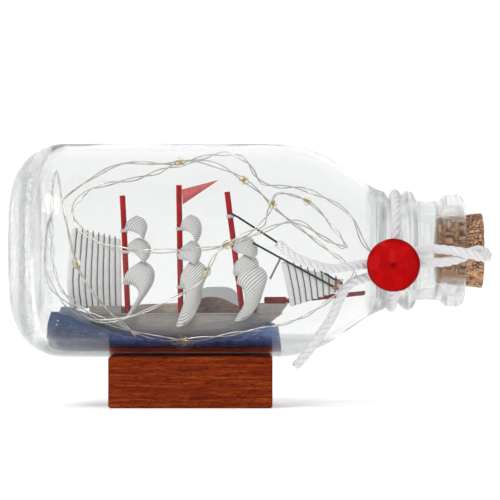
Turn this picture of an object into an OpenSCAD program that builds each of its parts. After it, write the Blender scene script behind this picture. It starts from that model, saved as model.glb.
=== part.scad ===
// Ship in a bottle: a corked glass bottle lying on a wooden stand, with a three-masted ship set in
// blue putty, a string of tiny lights powered from the stopper, and a cotton cord with a red seal.
// Millimetres. +Z up, +X from the bottle's base to its mouth, +Y away from the side that is shown.
// The origin is the centre of the stand's bottom face.

/* [Stand] */
// Length of the stand along the bottle
stand_len = 43; // [36:0.5:44]
// Width of the stand across the bottle
stand_w = 28; // [24:0.5:32]
// Height of the stand
stand_h = 13.5; // [12:0.5:20]
// Depth of the groove that the bottle lies in
groove_depth = 0.8; // [0.5:0.1:1.2]

/* [Bottle] */
// Outer diameter of the bottle's body
bottle_d = 56.8; // [56.4:0.1:57.2]
// Wall thickness of the bottle's body
wall = 1.5; // [1.4:0.05:1.7]
// Length of the bottle from its base to its lip
bottle_len = 120.1; // [120:0.05:120.4]
// Outer radius of the neck
neck_r = 13.15; // [12.8:0.05:13.4]
// Radius of the mouth's bore, which holds the stopper
mouth_r = 9.35; // [9.34:0.01:9.4]
// Outer radius of the lip
lip_r = 14.95; // [14.8:0.05:15]
// Outer radius of the collar below the lip
collar_r = 15.9; // [15.6:0.05:16]

/* [Ship] */
// Greatest half breadth of the hull
hull_half = 5.4; // [4.6:0.1:5.5]
// Diameter of the masts
mast_d = 1.5; // [1.2:0.05:1.6]
// Thickness of the ribbed sail material
sail_t = 0.35; // [0.25:0.05:0.4]
// Diameter of the black stays
stay_d = 0.55; // [0.4:0.05:0.6]

/* [Stopper] */
// Length of the cork
cork_len = 11.4; // [11.2:0.1:11.6]
// Length of the cork inside the mouth
cork_in = 6.5; // [6.2:0.1:6.6]
// Radius of the cork's outer end
cork_end_r = 9.95; // [9.7:0.05:10.2]
// Travel of the light switch
switch_travel = 1.6; // [1.2:0.1:1.8]

/* [Lights and cord] */
// Diameter of the light string's pair of wires
wire_d = 0.7; // [0.5:0.05:0.8]
// Diameter of the resin drop over each light
drop_d = 2.1; // [1.9:0.1:2.3]
// Diameter of the cotton cord
cord_d = 2.3; // [2.0:0.1:2.4]
// Diameter of the red seal disc
seal_d = 13.8; // [13:0.1:14.4]
// Thickness of the red seal disc
seal_t = 2.2; // [1.8:0.1:2.4]

/* [Hidden] */

// Bottle, along X from its base
bottle_r = bottle_d / 2;
glue_t = 0.2;
axis_z = stand_h - groove_depth + glue_t + bottle_r;
base_x = -47.7;
lip_x = base_x + bottle_len;
heel_r = 14;
kick_r = 13;
kick_h = 1.5;
shoulder_x = 22.5;
shoulder_arc = 28;
shoulder_angle = 34.5;
shoulder_end_x = 45.8;
throat_arc = 20;
throat_end_angle = 17;
cord_groove_x = 53.6;
cord_groove_r = 1.9;
cord_root_r = 13.6;
collar_x = 57.4;
collar_bead = 2;
neck_start_x = 60.6;
neck_end_x = 65.2;
lip_bead = 1.75;
lip_edge = 2.2;
lip_inner_edge = 1.2;
inner_r = bottle_r - wall;
inner_base_x = -41.9;
inner_heel_r = 9;
inner_kick = 1.7;
inner_straight_end_x = 50.5;
inner_throat_arc = 14;
seat_x = 64;

// Ship, with heights measured from the bottle's axis
deck_z = -16.6;
deck_t = 0.4;
mast_r = mast_d / 2;
mizzen = [[-18.3, 14.6], [-16.9, deck_z]];
main = [[-3.3, 17.4], [-2.8, deck_z]];
fore = [[9.5, 15.6], [13.6, deck_z]];
hull_gap = 0.05;
part_gap = 0.1;

// Cotton cord and seal, with heights measured from the bottle's axis
cord_r = cord_d / 2;
neck_cord_r = cord_root_r + cord_r + 0.3;
neck_cord_tilt = 1.7;
knot = [52.6, -18.5, -3.7];
knot_r = 2.3;
seal_y = -21.1;
seal_x = 52.7;
seal_z = -3.8;
bow_loop_route = [[56, -18.8, -2.2], [57.5, -18.6, -0.8], [60.5, -17.9, 0.1], [65, -17.1, 0.3],
     [72.6, -18, -0.8], [75.4, -17.7, -1.7], [77.2, -16, -1.8], [77.6, -14.3, -1],
    [76.4, -13.1, 0], [74.2, -14, -0.1], [71.6, -16, -1.6], [67, -16.8, -2.9],
    [61.5, -17.6, -3.3], [56.6, -18.6, -4.6]];
short_tail_route = [[48.5, -19.2, -3.4], [45, -20, -3.6], [42, -22, -4],
    [36.5, -25.6, -4.7], [29.3, -29.2, -2.7], [25.9, -29.9, -0.9], [22.8, -30, 1.9]];
long_tail_route = [[49.9, -19.1, -6.9], [46, -19.5, -7.1], [41.4, -21.4, -8.8],
    [38.6, -21.4, -13], [37, -20, -17], [34, -17.4, -21.6], [31, -15.8, -26], [27.6, -14, -30.2]];

// Light string: one pair of wires from the stopper round the inside of the bottle to its bare end
light_route = [[66.8, 0, 0], [62, -0.5, -0.5], [55, -3, -4], [46, -7, 1], [42, -6, 9],
    [30.5, 9, 16.5], [19, 1, 18], [14.5, -5, 23.5], [10, -3, 25.5], [0, -7, 23.5], [-5.5, -9, 22.5],
    [-17.5, -10, 22.5], [-25, -14.5, 19], [-35.5, -18.5, 10.5], [-38, -19, 2], [-37, -17, -8.5],
    [-26.5, -15.5, -17.5], [-20, -15.5, -18], [-8, -18.5, -14], [2.5, -20, -8], [8, -21, 0.5],
    [18.5, -18, 6.5], [21, -13, 11], [23, -4, 15], [33, 10, 12], [41, 3, 1], [34.5, -9, 3.5],
    [27.5, -13, 7.5], [13, -17.5, 2.5], [4.5, -20.5, 0.5], [-22.5, -19, 1.5], [-31, -12, 10],
    [-27, -10.5, 15.5], [-13.5, -7, 19], [3.5, 6, 24], [15.5, 8, 18], [23.5, 13, 10.5],
    [40.5, 7, -3], [43, -3, -6.5], [30, -11, -17], [11.5, -11.5, -21.5], [-3.5, -11, -23],
    [-13.5, -10.5, -21.5], [-28, -8.5, -15.5], [-38, 5, -5], [-39, 5, 16.5], [-36.5, -3, 21],
    [-33.5, -12, 12], [-29, -16, -5], [-22, -14, -15], [-14, -13, -22]];
// Each light: the route point before it and its share of the way to the next
lights = [[9, 0.55], [19, 0.3], [22, 0.2], [23, 0.85], [28, 0.4], [34, 0.85], [40, 0.9], [47, 0.9]];
led_chip = [1, 0.4, 0.4];

// Stopper, along X
cork_x = lip_x - cork_in;
cork_tip_r = 8.95;
cork_end_x = cork_x + cork_len;
pocket_r = 6.9;
pocket_x = cork_end_x - 6.9;
wire_hole_r = 0.6;
cup_r = 6.85;
cup_wall = 0.55;
cup_floor = 0.5;
cell_r = 6.2;
cell_t = 2;
contact_r = 4;
contact_t = 0.2;
board_r = 6.2;
board_t = 0.6;
cap_t = 1;
slider = [1.4, 1.8, 1.4];
slot_w = 2;

function arc_points(c, r, from, to, n) =
    [for (i = [0:n]) let (a = from + (to - from) * i / n) c + r * [cos(a), sin(a)]];
function after_first(p) = [for (i = [1:len(p) - 1]) p[i]];
function unit(v) = v / norm(v);
function tangents(p) =
    [for (i = [0:len(p) - 1]) unit(p[min(i + 1, len(p) - 1)] - p[max(i - 1, 0)])];
function carried(t, n, i = 0) = i == len(t) ? []
    : let (m = unit(n - (n * t[i]) * t[i])) concat([m], carried(t, m, i + 1));
// Two triangles a side, split so that the two faces of a thin sheet are split alike
function side_faces(rings, sides) =
    [for (i = [0:rings - 2]) for (j = [0:sides - 1])
        let (k = (j + 1) % sides, p = i * sides + j, q = i * sides + k, r = q + sides, s = p + sides)
        each j < sides / 2 ? [[p, q, r], [p, r, s]] : [[p, q, s], [q, r, s]]];
// The two ends as strips from side to side, which need not be flat
function end_faces(rings, sides) =
    [for (j = [0:sides / 2 - 2])
        let (p = j, q = j + 1, r = sides - 2 - j, s = sides - 1 - j, last = (rings - 1) * sides)
        each [[r, q, p], [s, r, p], [p + last, q + last, r + last], [p + last, r + last, s + last]]];
function mast_x(mast, z) =
    mast[1][0] + (mast[0][0] - mast[1][0]) * (z - mast[1][1]) / (mast[0][1] - mast[1][1]);
function flat(rows) = [for (row = rows) for (point = row) point];

// A solid through closed rings of points, all with the same number of points
module rings_solid(rows) {
    polyhedron(flat(rows), concat(side_faces(len(rows), len(rows[0])),
        end_faces(len(rows), len(rows[0]))), convexity = 8);
}

// A round tube along a route
module swept_tube(route, r, sides = 8) {
    t = tangents(route);
    n = carried(t, [0.1, 0.3, 1]);
    rings_solid([for (i = [0:len(route) - 1]) [for (j = [0:sides - 1]) let (a = -360 * j / sides)
        route[i] + r * (cos(a) * n[i] + sin(a) * cross(t[i], n[i]))]]);
}

// A straight rod between two points
module rod(from, to, r) {
    d = to - from;
    translate(from) rotate([0, acos(d[2] / norm(d)), atan2(d[1], d[0])])
        cylinder(h = norm(d), r = r, $fn = 32);
}

// Puts children drawn along Z onto the bottle's axis, along X
module along_axis() {
    translate([0, 0, axis_z]) rotate([0, 90, 0]) children();
}

module at_axis() {
    translate([0, 0, axis_z]) children();
}

// A turned shape on the bottle's axis, from points of radius and X
module turned(points) {
    along_axis() rotate_extrude($fn = 96) polygon(points);
}

function outer_profile() =
    let (kick_arc = (kick_r ^ 2 + kick_h ^ 2) / (2 * kick_h),
        convex = [bottle_r - shoulder_arc, shoulder_x],
        slope_start = convex + shoulder_arc * [cos(shoulder_angle), sin(shoulder_angle)],
        slope_end = [slope_start[0] - (shoulder_end_x - slope_start[1]) * tan(shoulder_angle),
            shoulder_end_x],
        throat = slope_end + throat_arc * [cos(shoulder_angle), sin(shoulder_angle)])
    concat(
        arc_points([0, base_x + kick_h - kick_arc], kick_arc, 90, 90 - asin(kick_r / kick_arc), 5),
        arc_points([bottle_r - heel_r, base_x + heel_r], heel_r, -90, 0, 14),
        arc_points(convex, shoulder_arc, 0, shoulder_angle, 9),
        arc_points(throat, throat_arc, 180 + shoulder_angle, 180 + throat_end_angle, 5),
        arc_points([cord_root_r + cord_groove_r, cord_groove_x], cord_groove_r, 260, 110, 9),
        arc_points([collar_r - collar_bead, collar_x], collar_bead, -50, 50, 8),
        [[neck_r, neck_start_x], [neck_r, neck_end_x]],
        arc_points([lip_r - lip_bead, neck_end_x + 3], lip_bead, -75, 0, 5),
        arc_points([lip_r - lip_edge, lip_x - lip_edge], lip_edge, 0, 90, 7));

function inner_profile() =
    let (inner_arc = shoulder_arc - wall,
        convex = [inner_r - inner_arc, shoulder_x],
        slope_start = convex + inner_arc * [cos(shoulder_angle), sin(shoulder_angle)],
        slope_end = [slope_start[0] - (inner_straight_end_x - slope_start[1]) * tan(shoulder_angle),
            inner_straight_end_x],
        throat = slope_end + inner_throat_arc * [cos(shoulder_angle), sin(shoulder_angle)],
        kick_edge = inner_r - inner_heel_r,
        kick_arc = (kick_edge ^ 2 + inner_kick ^ 2) / (2 * inner_kick))
    concat(
        arc_points([mouth_r + lip_inner_edge, lip_x - lip_inner_edge], lip_inner_edge, 90, 180, 5),
        [[mouth_r, seat_x]],
        arc_points(throat, inner_throat_arc, 180, 180 + shoulder_angle, 6),
        arc_points(convex, inner_arc, shoulder_angle, 0, 9),
        arc_points([kick_edge, inner_base_x + inner_heel_r], inner_heel_r, 0, -90, 9),
        after_first(arc_points([0, inner_base_x + inner_kick - kick_arc], kick_arc,
            90 - asin(kick_edge / kick_arc), 90, 5)));

module glass_bottle() {
    color("azure", 0.35) turned(concat(outer_profile(), inner_profile()));
}

module wood_stand() {
    color("sienna") difference() {
        translate([-stand_len / 2, -stand_w / 2, 0]) cube([stand_len, stand_w, stand_h]);
        translate([-stand_len, 0, axis_z]) rotate([0, 90, 0])
            cylinder(h = 2 * stand_len, r = bottle_r + glue_t, $fn = 96);
    }
}

// A film of glue that fills the groove under the bottle
module stand_glue() {
    glue_len = stand_len - 4;
    glue_w = 9;
    color("gainsboro") intersection() {
        translate([-glue_len / 2, 0, axis_z]) rotate([0, 90, 0]) difference() {
            cylinder(h = glue_len, r = bottle_r + glue_t, $fn = 96);
            translate([0, 0, -1]) cylinder(h = glue_len + 2, r = bottle_r, $fn = 96);
        }
        translate([-glue_len / 2, -glue_w / 2, stand_h - groove_depth - 1])
            cube([glue_len, glue_w, 3]);
    }
}

// Inner radius of the bottle where the putty lies
function bed_radius(x) =
    let (heel_x = inner_base_x + inner_heel_r)
    x > heel_x ? inner_r : inner_r - inner_heel_r + sqrt(inner_heel_r ^ 2 - (heel_x - x) ^ 2);

// A rounded rise of the putty along the bottle
function swell(x, at, width) = exp(-(((x - at) / width) ^ 2));

// Height of the putty's top from the axis: under the ship, at its near edge and at its far edge,
// which climbs the wall behind the ship. A dimple in the near edge takes one of the lights.
function putty_middle(x) = -22.8 + 7.2 * swell(x, -38, 14.5) + 3.4 * swell(x, 21, 7);
function putty_near(x) =
    -23.2 + 7.7 * swell(x, -38, 14.5) + 2.7 * swell(x, 21, 6) - 2.4 * swell(x, -2, 3);
function putty_far(x) =
    -22.5 + 7.2 * swell(x, -38, 14.5) + 2.6 * swell(x, 21, 6) + 12.5 * swell(x, 7, 6.5);

module sea_putty() {
    putty_start = -37.4;
    putty_end = 23.8;
    end_round = 3;
    rim = 0.3;
    steps_x = 32;
    steps_side = 8;
    rows = [for (i = [0:steps_x])
        let (x = putty_start + (putty_end - putty_start) * i / steps_x,
            bed = bed_radius(x) - hull_gap,
            e = max(0, min(1, min(x - putty_start, putty_end - x) / end_round)),
            fullness = sqrt(1 - (1 - e) ^ 2),
            middle = putty_middle(x), edges = [putty_near(x), putty_far(x)],
            spans = [for (edge = edges) acos(-edge / bed) * (0.6 + 0.4 * fullness)],
            angles = concat([for (j = [steps_side:-1:1]) -spans[0] * j / steps_side],
                [for (j = [0:steps_side]) spans[1] * j / steps_side]))
        concat(
            [for (a = angles)
                let (side = a < 0 ? 0 : 1, t = abs(a) / spans[side],
                    z = middle + (edges[side] - middle) * t ^ (side == 0 ? 2.2 : 4),
                    top = min(bed - rim, -z / cos(a)))
                let (r = bed - rim - (bed - rim - top) * fullness) [x, r * sin(a), -r * cos(a)]],
            [for (j = [len(angles) - 1:-1:0]) let (a = angles[j]) [x, bed * sin(a), -bed * cos(a)]])];
    color("steelblue") at_axis() difference() {
        rings_solid(rows);
        hull_form(hull_gap);
    }
}

// Half breadth of the hull at a place along it, and the depth of its keel there
function hull_breadth(x) = x < -14 ? hull_half - 0.012 * (x + 14) ^ 2
    : x < 8 ? hull_half : hull_half * sqrt(max(0.004, 1 - ((x - 8) / 16.2) ^ 2));
function keel_depth(x) = x < -8 ? -23.8 + 0.0145 * (x + 8) ^ 2
    : x < 8 ? -23.8 : -23.8 + 0.0275 * (x - 8) ^ 2;

// The hull below its deck, grown by a gap where it is a cutter
module hull_form(grow = 0) {
    top = deck_z - deck_t;
    stations = [-26.6, -24, -20, -15, -10, -4, 2, 8, 12, 15.5, 18.5, 21, 22.6, 23.6];
    section = [[1, 1], [0.98, 0.62], [0.84, 0.25], [0.3, 0],
        [-0.3, 0], [-0.84, 0.25], [-0.98, 0.62], [-1, 1]];
    color("tan") rings_solid([for (x = stations)
        let (b = hull_breadth(x) + grow, k = min(keel_depth(x), top - 0.4) - grow, h = top - k + grow)
        [for (p = section) [x, b * p[0], k + h * p[1]]]]);
}

module ship_hull() {
    color("tan") at_axis() hull_form();
}

// A flat layer of the ship that follows the hull's plan between two stations
module deck_layer(x0, x1, bottom, top, inset) {
    steps = 12;
    side = [for (i = [0:steps]) let (x = x0 + (x1 - x0) * i / steps) [x, hull_breadth(x) - inset]];
    translate([0, 0, bottom]) linear_extrude(top - bottom)
        polygon(concat(side, [for (i = [steps:-1:0]) [side[i][0], -side[i][1]]]));
}

module deck() {
    color("burlywood") at_axis() difference() {
        deck_layer(-26.7, 24.2, deck_z - deck_t, deck_z, 0);
        for (mast = [mizzen, main, fore])
            translate([mast_x(mast, deck_z - deck_t / 2), 0, deck_z - 1])
                cylinder(h = 2, r = mast_r + part_gap, $fn = 32);
    }
}

module poop_block() {
    color("tan") at_axis() deck_layer(-27, -18.4, deck_z, -14.8, 0.1);
}

// A raised bow whose stem rakes forward
module forecastle() {
    rake = 1.8;
    layer = 0.05;
    color("tan") at_axis() hull() {
        deck_layer(17.4, 23.9, deck_z, deck_z + layer, 0);
        translate([rake, 0, 0]) deck_layer(17.4 - rake, 23.9, -14.1 - layer, -14.1, 0);
    }
}

// A long cabin on the far side of the deck, open where the main sail hangs, with a wheelhouse
module deck_cabin() {
    cabin_y = 1.4;
    cabin_w = 3.2;
    porthole_r = 0.4;
    color("rosybrown") at_axis() difference() {
        union() {
            translate([-15.4, cabin_y, deck_z]) cube([10.8, cabin_w, 2.2]);
            translate([3.4, cabin_y, deck_z]) cube([8.2, cabin_w, 2.2]);
            translate([3.4, cabin_y, deck_z]) cube([5, cabin_w, 3.9]);
        }
        for (x = [4.4:1.5:7.6])
            translate([x, cabin_y - 0.1, deck_z + 2.7]) rotate([-90, 0, 0])
                cylinder(h = 0.4, r = porthole_r, $fn = 24);
    }
}

module bow_rail() {
    color("firebrick") at_axis() translate([19.4, -1.2, -14.1]) cube([6, 2.4, 1.7]);
}

// A flat strip that leaves the forecastle and rises forward
module bowsprit() {
    color("firebrick") at_axis() translate([25.4, 0, -14.8]) rotate([90, 0, 0])
        linear_extrude(1.2, center = true)
            polygon([[0, 0.75], [20.6, 2.9], [20.7, 4.1], [0, 2.0]]);
}

module mast(line) {
    foot = [line[1][0], 0, line[1][1]];
    color("crimson") at_axis() rod(foot, [line[0][0], 0, line[0][1]], mast_r);
}

module mizzen_mast() {
    mast(mizzen);
}

module main_mast() {
    mast(main);
}

module fore_mast() {
    mast(fore);
}

// A pointed flag behind the main mast's head
module pennant() {
    luff_x = mast_x(main, 14) + mast_r + part_gap;
    color("crimson") at_axis() rotate([90, 0, 0]) linear_extrude(0.4, center = true)
        polygon([[luff_x - 0.1, 16.2], [luff_x + 0.1, 12.3], [7.1, 18.7]]);
}

// A point on a smooth curve through evenly timed points, for t from 0 to 1
function along_curve(points, t) =
    let (last = len(points) - 1, place = min(last - 0.000001, max(0, t * last)),
        i = floor(place), f = place - i,
        p = [for (k = [-1:2]) points[max(0, min(last, i + k))]])
    p[0] * (2 * f ^ 2 - f - f ^ 3) / 2 + p[1] * (2 - 5 * f ^ 2 + 3 * f ^ 3) / 2
        + p[2] * (f + 4 * f ^ 2 - 3 * f ^ 3) / 2 + p[3] * (f ^ 3 - f ^ 2) / 2;

// A curved square sail, from the line of its side edge and its outermost line, each from head to
// foot, and how far it reaches across the ship at head and foot. foot_curve shapes its foot, and
// flank above 0 makes its sides flatter low down, where they hang outside the hull.
module square_sail(edge, crest, reach, foot_curve = 1, flank = 0) {
    levels = 8;
    columns = 10;
    head_curve = 0.42;
    function across_at(j) = let (u = 2 * j / columns - 1) 90 * sign(u) * abs(u) ^ 0.8;
    function sheet_at(t, a) =
        let (e = along_curve(edge, t), c = along_curve(crest, t), bulge = abs(cos(a)),
            lift = head_curve + (foot_curve - head_curve) * t ^ 1.5,
            half = reach[0] + (reach[1] - reach[0]) * t)
        [e.x + (c.x - e.x) * bulge, half * sign(a) * abs(sin(a)) ^ (1 - flank * t),
            e.y + (c.y - e.y) * bulge ^ lift];
    grid = [for (i = [0:levels]) [for (j = [0:columns]) sheet_at(i / levels, across_at(j))]];
    function inward(i, j) =
        unit(cross(grid[i][min(columns, j + 1)] - grid[i][max(0, j - 1)],
            grid[min(levels, i + 1)][j] - grid[max(0, i - 1)][j]));
    color("ivory") at_axis() rings_solid([for (i = [0:levels])
        concat(grid[i], [for (j = [columns:-1:0]) grid[i][j] + sail_t * inward(i, j)])]);
}

module mizzen_top_sail() {
    square_sail([[-17.5, 5.6], [-15.3, 5.2], [-13.8, 4.7], [-13.0, 3.7]],
        [[-14.5, 9.2], [-12.6, 8.2], [-11.8, 6.8], [-12.2, 5.1], [-12.9, 3.6]],
        [2.6, 3.4]);
}

module mizzen_middle_sail() {
    square_sail([[-16.9, 0.4], [-15.0, -0.4], [-13.8, -1.3], [-13.0, -2.3]],
        [[-14.1, 2.9], [-12.1, 2.4], [-10.9, 0.9], [-11.1, -0.8], [-12.6, -2.4]],
        [3.4, 4]);
}

module mizzen_lower_sail() {
    square_sail([[-17.9, -8.9], [-15.5, -9.0], [-13.9, -10.4], [-13.8, -12.1], [-15.3, -14.8],
        [-17.3, -18.1]],
        [[-13.1, -3.2], [-11.0, -3.9], [-9.9, -6.0], [-10.3, -8.6], [-11.9, -11.3], [-13.4, -13.2]],
        [4, 7.2], 1.2, 0.45);
}

module main_top_sail() {
    square_sail([[-2.8, 5.9], [-1.2, 5.3], [0.2, 4.8], [1.0, 3.3]],
        [[-0.1, 9.4], [1.8, 8.4], [2.6, 6.5], [2.4, 4.7], [1.4, 2.9]],
        [2.6, 3.4]);
}

module main_middle_sail() {
    square_sail([[-3.0, -1.5], [-1.7, -1.6], [-0.5, -1.7], [0.6, -2.1]],
        [[0.0, 2.4], [1.6, 1.9], [2.5, 0.5], [2.3, -1.1], [1.2, -2.4]],
        [3.4, 4]);
}

module main_lower_sail() {
    square_sail([[-2.9, -9.4], [-1.7, -10.0], [-1.4, -11.6], [-1.8, -14.0], [-2.6, -16.4],
        [-3.8, -19.9]],
        [[0.4, -3.1], [2.8, -3.7], [4.3, -5.7], [3.2, -8.9], [2.9, -11.3], [2.9, -13.0]],
        [4, 7.2], 2.3, 0.45);
}

module fore_top_sail() {
    square_sail([[11.1, 0.7], [12.4, 0.3], [13.9, 0.3], [15.2, 0.3]],
        [[14.4, 3.8], [15.8, 2.8], [17.1, 1.8], [17.3, 0.9], [16.1, 0.2]],
        [2.6, 3.4]);
}

module fore_middle_sail() {
    square_sail([[11.3, -5.5], [12.9, -5.2], [14.5, -4.9], [15.6, -4.8]],
        [[14.8, -0.9], [16.8, -1.6], [17.7, -2.8], [17.5, -4.0], [16.3, -4.8]],
        [3.4, 4]);
}

module fore_lower_sail() {
    square_sail([[12.1, -8.6], [13.7, -9.8], [14.4, -12.4], [13.9, -14.8], [12.8, -16.6], [11.6, -18.5]],
        [[16.7, -5.2], [18.8, -5.5], [20.1, -7.2], [19.5, -9.4], [18.9, -11.3], [18.5, -12.5]],
        [4, 7.2], 2.0, 0.45);
}

// A flat sail of upright ribs, with a board's thickness that swells at each rib
module ribbed_sail(outline, y, thickness) {
    color("ivory") at_axis() translate([0, y, 0]) rotate([90, 0, 0])
        linear_extrude(thickness, center = true) polygon(outline);
}

module spanker_sail() {
    ribbed_sail([[-30.6, 6.8], [-19.3, 3.6], [-18.5, -14.3], [-32.4, -14.6], [-33, -7]], 0, 0.7);
}

module jib_sail() {
    ribbed_sail([[24, -2], [26.4, -12], [26.8, -14.6], [41.1, -11.9], [40.1, -9.4]], -1.1, 0.7);
}

// The two black cords from the fore mast to the jib's forward corner
module fore_stay() {
    color("black") at_axis()
        swept_tube([[10.5, -1.2, 9.9], [12.5, -2.6, 8.8], [39.9, -1.9, -8.9]], stay_d / 2, 12);
}

module jib_stay() {
    color("black") at_axis() rod([16.4, -1.8, 2], [38.8, -1.9, -10.2], stay_d / 2);
}

module jib_guy() {
    color("silver") at_axis() rod([23.6, -1.1, -2.2], [20.9, -1.1, -7.6], 0.28);
}

// Knots where the stays meet the bowsprit
module stay_knots() {
    color("black") at_axis() for (x = [42.6, 44.6])
        translate([x, -0.95, -11.6 + (x - 42.6) * 0.1]) sphere(r = 0.33, $fn = 24);
}

// White thread round a mast at each height
module ties(mast, heights) {
    tie_r = 0.22;
    color("white") at_axis() for (z = heights)
        translate([mast_x(mast, z), 0, z]) rotate_extrude($fn = 32)
            translate([mast_r + tie_r + 0.06, 0]) circle(r = tie_r, $fn = 16);
}

module mizzen_ties() {
    ties(mizzen, [5.2, -0.4, -8.6]);
}

module main_ties() {
    ties(main, [5.7, -1.2, -9.8]);
}

module fore_ties() {
    ties(fore, [9.1, -6.5]);
}

module light_wire() {
    color("silver") at_axis() swept_tube(light_route, wire_d / 2);
}

// Puts children, drawn along X, at each light of the string
module at_leds() {
    for (light = lights) {
        from = light_route[light[0]];
        d = light_route[light[0] + 1] - from;
        translate(from + light[1] * d) rotate([0, -asin(d[2] / norm(d)), atan2(d[1], d[0])])
            children();
    }
}

// A clear bead that swells round the wires, with a hollow for the light's chip
module led_drops() {
    half = drop_d * 0.6;
    hollow = [0.86, led_chip[0] / 2 + 0.1];
    hole = wire_d / 2 + part_gap;
    color("khaki", 0.7) at_axis() at_leds() rotate([0, 90, 0]) rotate_extrude($fn = 32)
        polygon([[hole, -half], [0.7, -half + 0.15], [drop_d * 0.46, -half * 0.6],
            [drop_d / 2, -half * 0.2], [drop_d / 2, half * 0.2], [drop_d * 0.46, half * 0.6],
            [0.7, half - 0.15], [hole, half], [hole, hollow[1]], [hollow[0], hollow[1]],
            [hollow[0], -hollow[1]], [hole, -hollow[1]]]);
}

module led_chips() {
    color("gold") at_axis() at_leds()
        translate([-led_chip[0] / 2, -led_chip[1] / 2, wire_d / 2 + 0.05])
            cube([led_chip[0], led_chip[1], led_chip[2]]);
}

module neck_cord() {
    color("white") translate([cord_groove_x, 0, axis_z]) rotate([0, 90 + neck_cord_tilt, 0])
        rotate_extrude($fn = 64) translate([neck_cord_r, 0]) circle(r = cord_r, $fn = 24);
}

module bow_knot() {
    color("white") at_axis() hull() {
        translate(knot - [1.6, 0, 0]) sphere(r = knot_r, $fn = 24);
        translate(knot + [1.2, 0, 0]) sphere(r = knot_r, $fn = 24);
    }
}

module bow_loop() {
    color("white") at_axis() swept_tube(bow_loop_route, cord_r);
}

module short_tail() {
    color("white") at_axis() swept_tube(short_tail_route, cord_r);
}

module long_tail() {
    color("white") at_axis() swept_tube(long_tail_route, cord_r);
}

// A thin round seal with a softened rim
module seal_disc() {
    rim = 0.5;
    r = seal_d / 2;
    color("red") at_axis() translate([seal_x, seal_y, seal_z]) rotate([90, 0, 0])
        rotate_extrude($fn = 64) polygon(concat([[0, 0]],
            arc_points([r - rim, rim], rim, -90, 0, 3),
            arc_points([r - rim, seal_t - rim - 0.2], rim, 0, 80, 3), [[0, seal_t]]));
}

module seal_glue() {
    seal_gap = 0.3;
    color("darkred") at_axis() translate([seal_x, seal_y, seal_z]) rotate([-90, 0, 0])
        cylinder(h = seal_gap, r = 1.6, $fn = 32);
}

module cork() {
    taper_start = mouth_r - 0.04;
    color("peru") turned([[wire_hole_r, cork_x], [cork_tip_r - 0.4, cork_x],
        [cork_tip_r, cork_x + 0.4], [taper_start, lip_x - lip_inner_edge],
        [cork_end_r, cork_end_x - 0.4], [cork_end_r - 0.4, cork_end_x], [pocket_r, cork_end_x],
        [pocket_r, pocket_x], [wire_hole_r, pocket_x]]);
}

module battery_cup() {
    cup_end = cork_end_x - cap_t - 0.05;
    color("white") turned([[wire_hole_r, pocket_x], [cup_r, pocket_x], [cup_r, cup_end],
        [cup_r - cup_wall, cup_end], [cup_r - cup_wall, pocket_x + cup_floor],
        [wire_hole_r, pocket_x + cup_floor]]);
}

// A disc on the bottle's axis, from X = x
module axis_disc(x, r, t) {
    translate([x, 0, axis_z]) rotate([0, 90, 0]) cylinder(h = t, r = r, $fn = 48);
}

module inner_contact() {
    color("goldenrod") difference() {
        axis_disc(pocket_x + cup_floor, contact_r, contact_t);
        axis_disc(pocket_x, wire_hole_r, 2);
    }
}

module coin_cells() {
    first = pocket_x + cup_floor + contact_t;
    color("silver") for (i = [0:1])
        axis_disc(first + i * (cell_t + 0.04) + 0.03, cell_r, cell_t);
}

// A thin sprung washer between the cells and the board
module contact_spring() {
    x = pocket_x + cup_floor + contact_t + 2 * cell_t + 0.1;
    color("goldenrod") turned([[2.6, x], [2.6, x + 0.18], [1.1, x + 0.42], [0.9, x + 0.42],
        [0.9, x + 0.3], [2.4, x]]);
}

module circuit_board() {
    color("green") axis_disc(cork_end_x - cap_t - board_t - 0.05, board_r, board_t);
}

module end_cap() {
    color("dimgray") difference() {
        axis_disc(cork_end_x - cap_t, cup_r, cap_t);
        translate([cork_end_x - cap_t - 1, -slot_w / 2, axis_z - slider[2] / 2 - 0.1])
            cube([cap_t + 2, slot_w, slider[2] + switch_travel + 0.2]);
    }
}

module switch_slider() {
    color("white") translate([cork_end_x - cap_t, -slider[1] / 2, axis_z - slider[2] / 2])
        cube([cap_t + 0.6, slider[1], slider[2]]);
}

wood_stand();
stand_glue();
glass_bottle();
sea_putty();
ship_hull();
deck();
poop_block();
forecastle();
deck_cabin();
bow_rail();
bowsprit();
mizzen_mast();
main_mast();
fore_mast();
pennant();
mizzen_top_sail();
mizzen_middle_sail();
mizzen_lower_sail();
main_top_sail();
main_middle_sail();
main_lower_sail();
fore_top_sail();
fore_middle_sail();
fore_lower_sail();
spanker_sail();
jib_sail();
fore_stay();
jib_stay();
jib_guy();
stay_knots();
mizzen_ties();
main_ties();
fore_ties();
light_wire();
led_drops();
led_chips();
neck_cord();
bow_knot();
bow_loop();
short_tail();
long_tail();
seal_disc();
seal_glue();
cork();
battery_cup();
inner_contact();
coin_cells();
contact_spring();
circuit_board();
end_cap();
switch_slider();
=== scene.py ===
"""Looks for the ship in a bottle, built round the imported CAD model.

Lengths in the tables are millimetres, with heights measured from the bottle's axis, as in the CAD.
"""

import math
import random
from contextlib import contextmanager

import bpy
import bmesh
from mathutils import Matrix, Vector, noise


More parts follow.
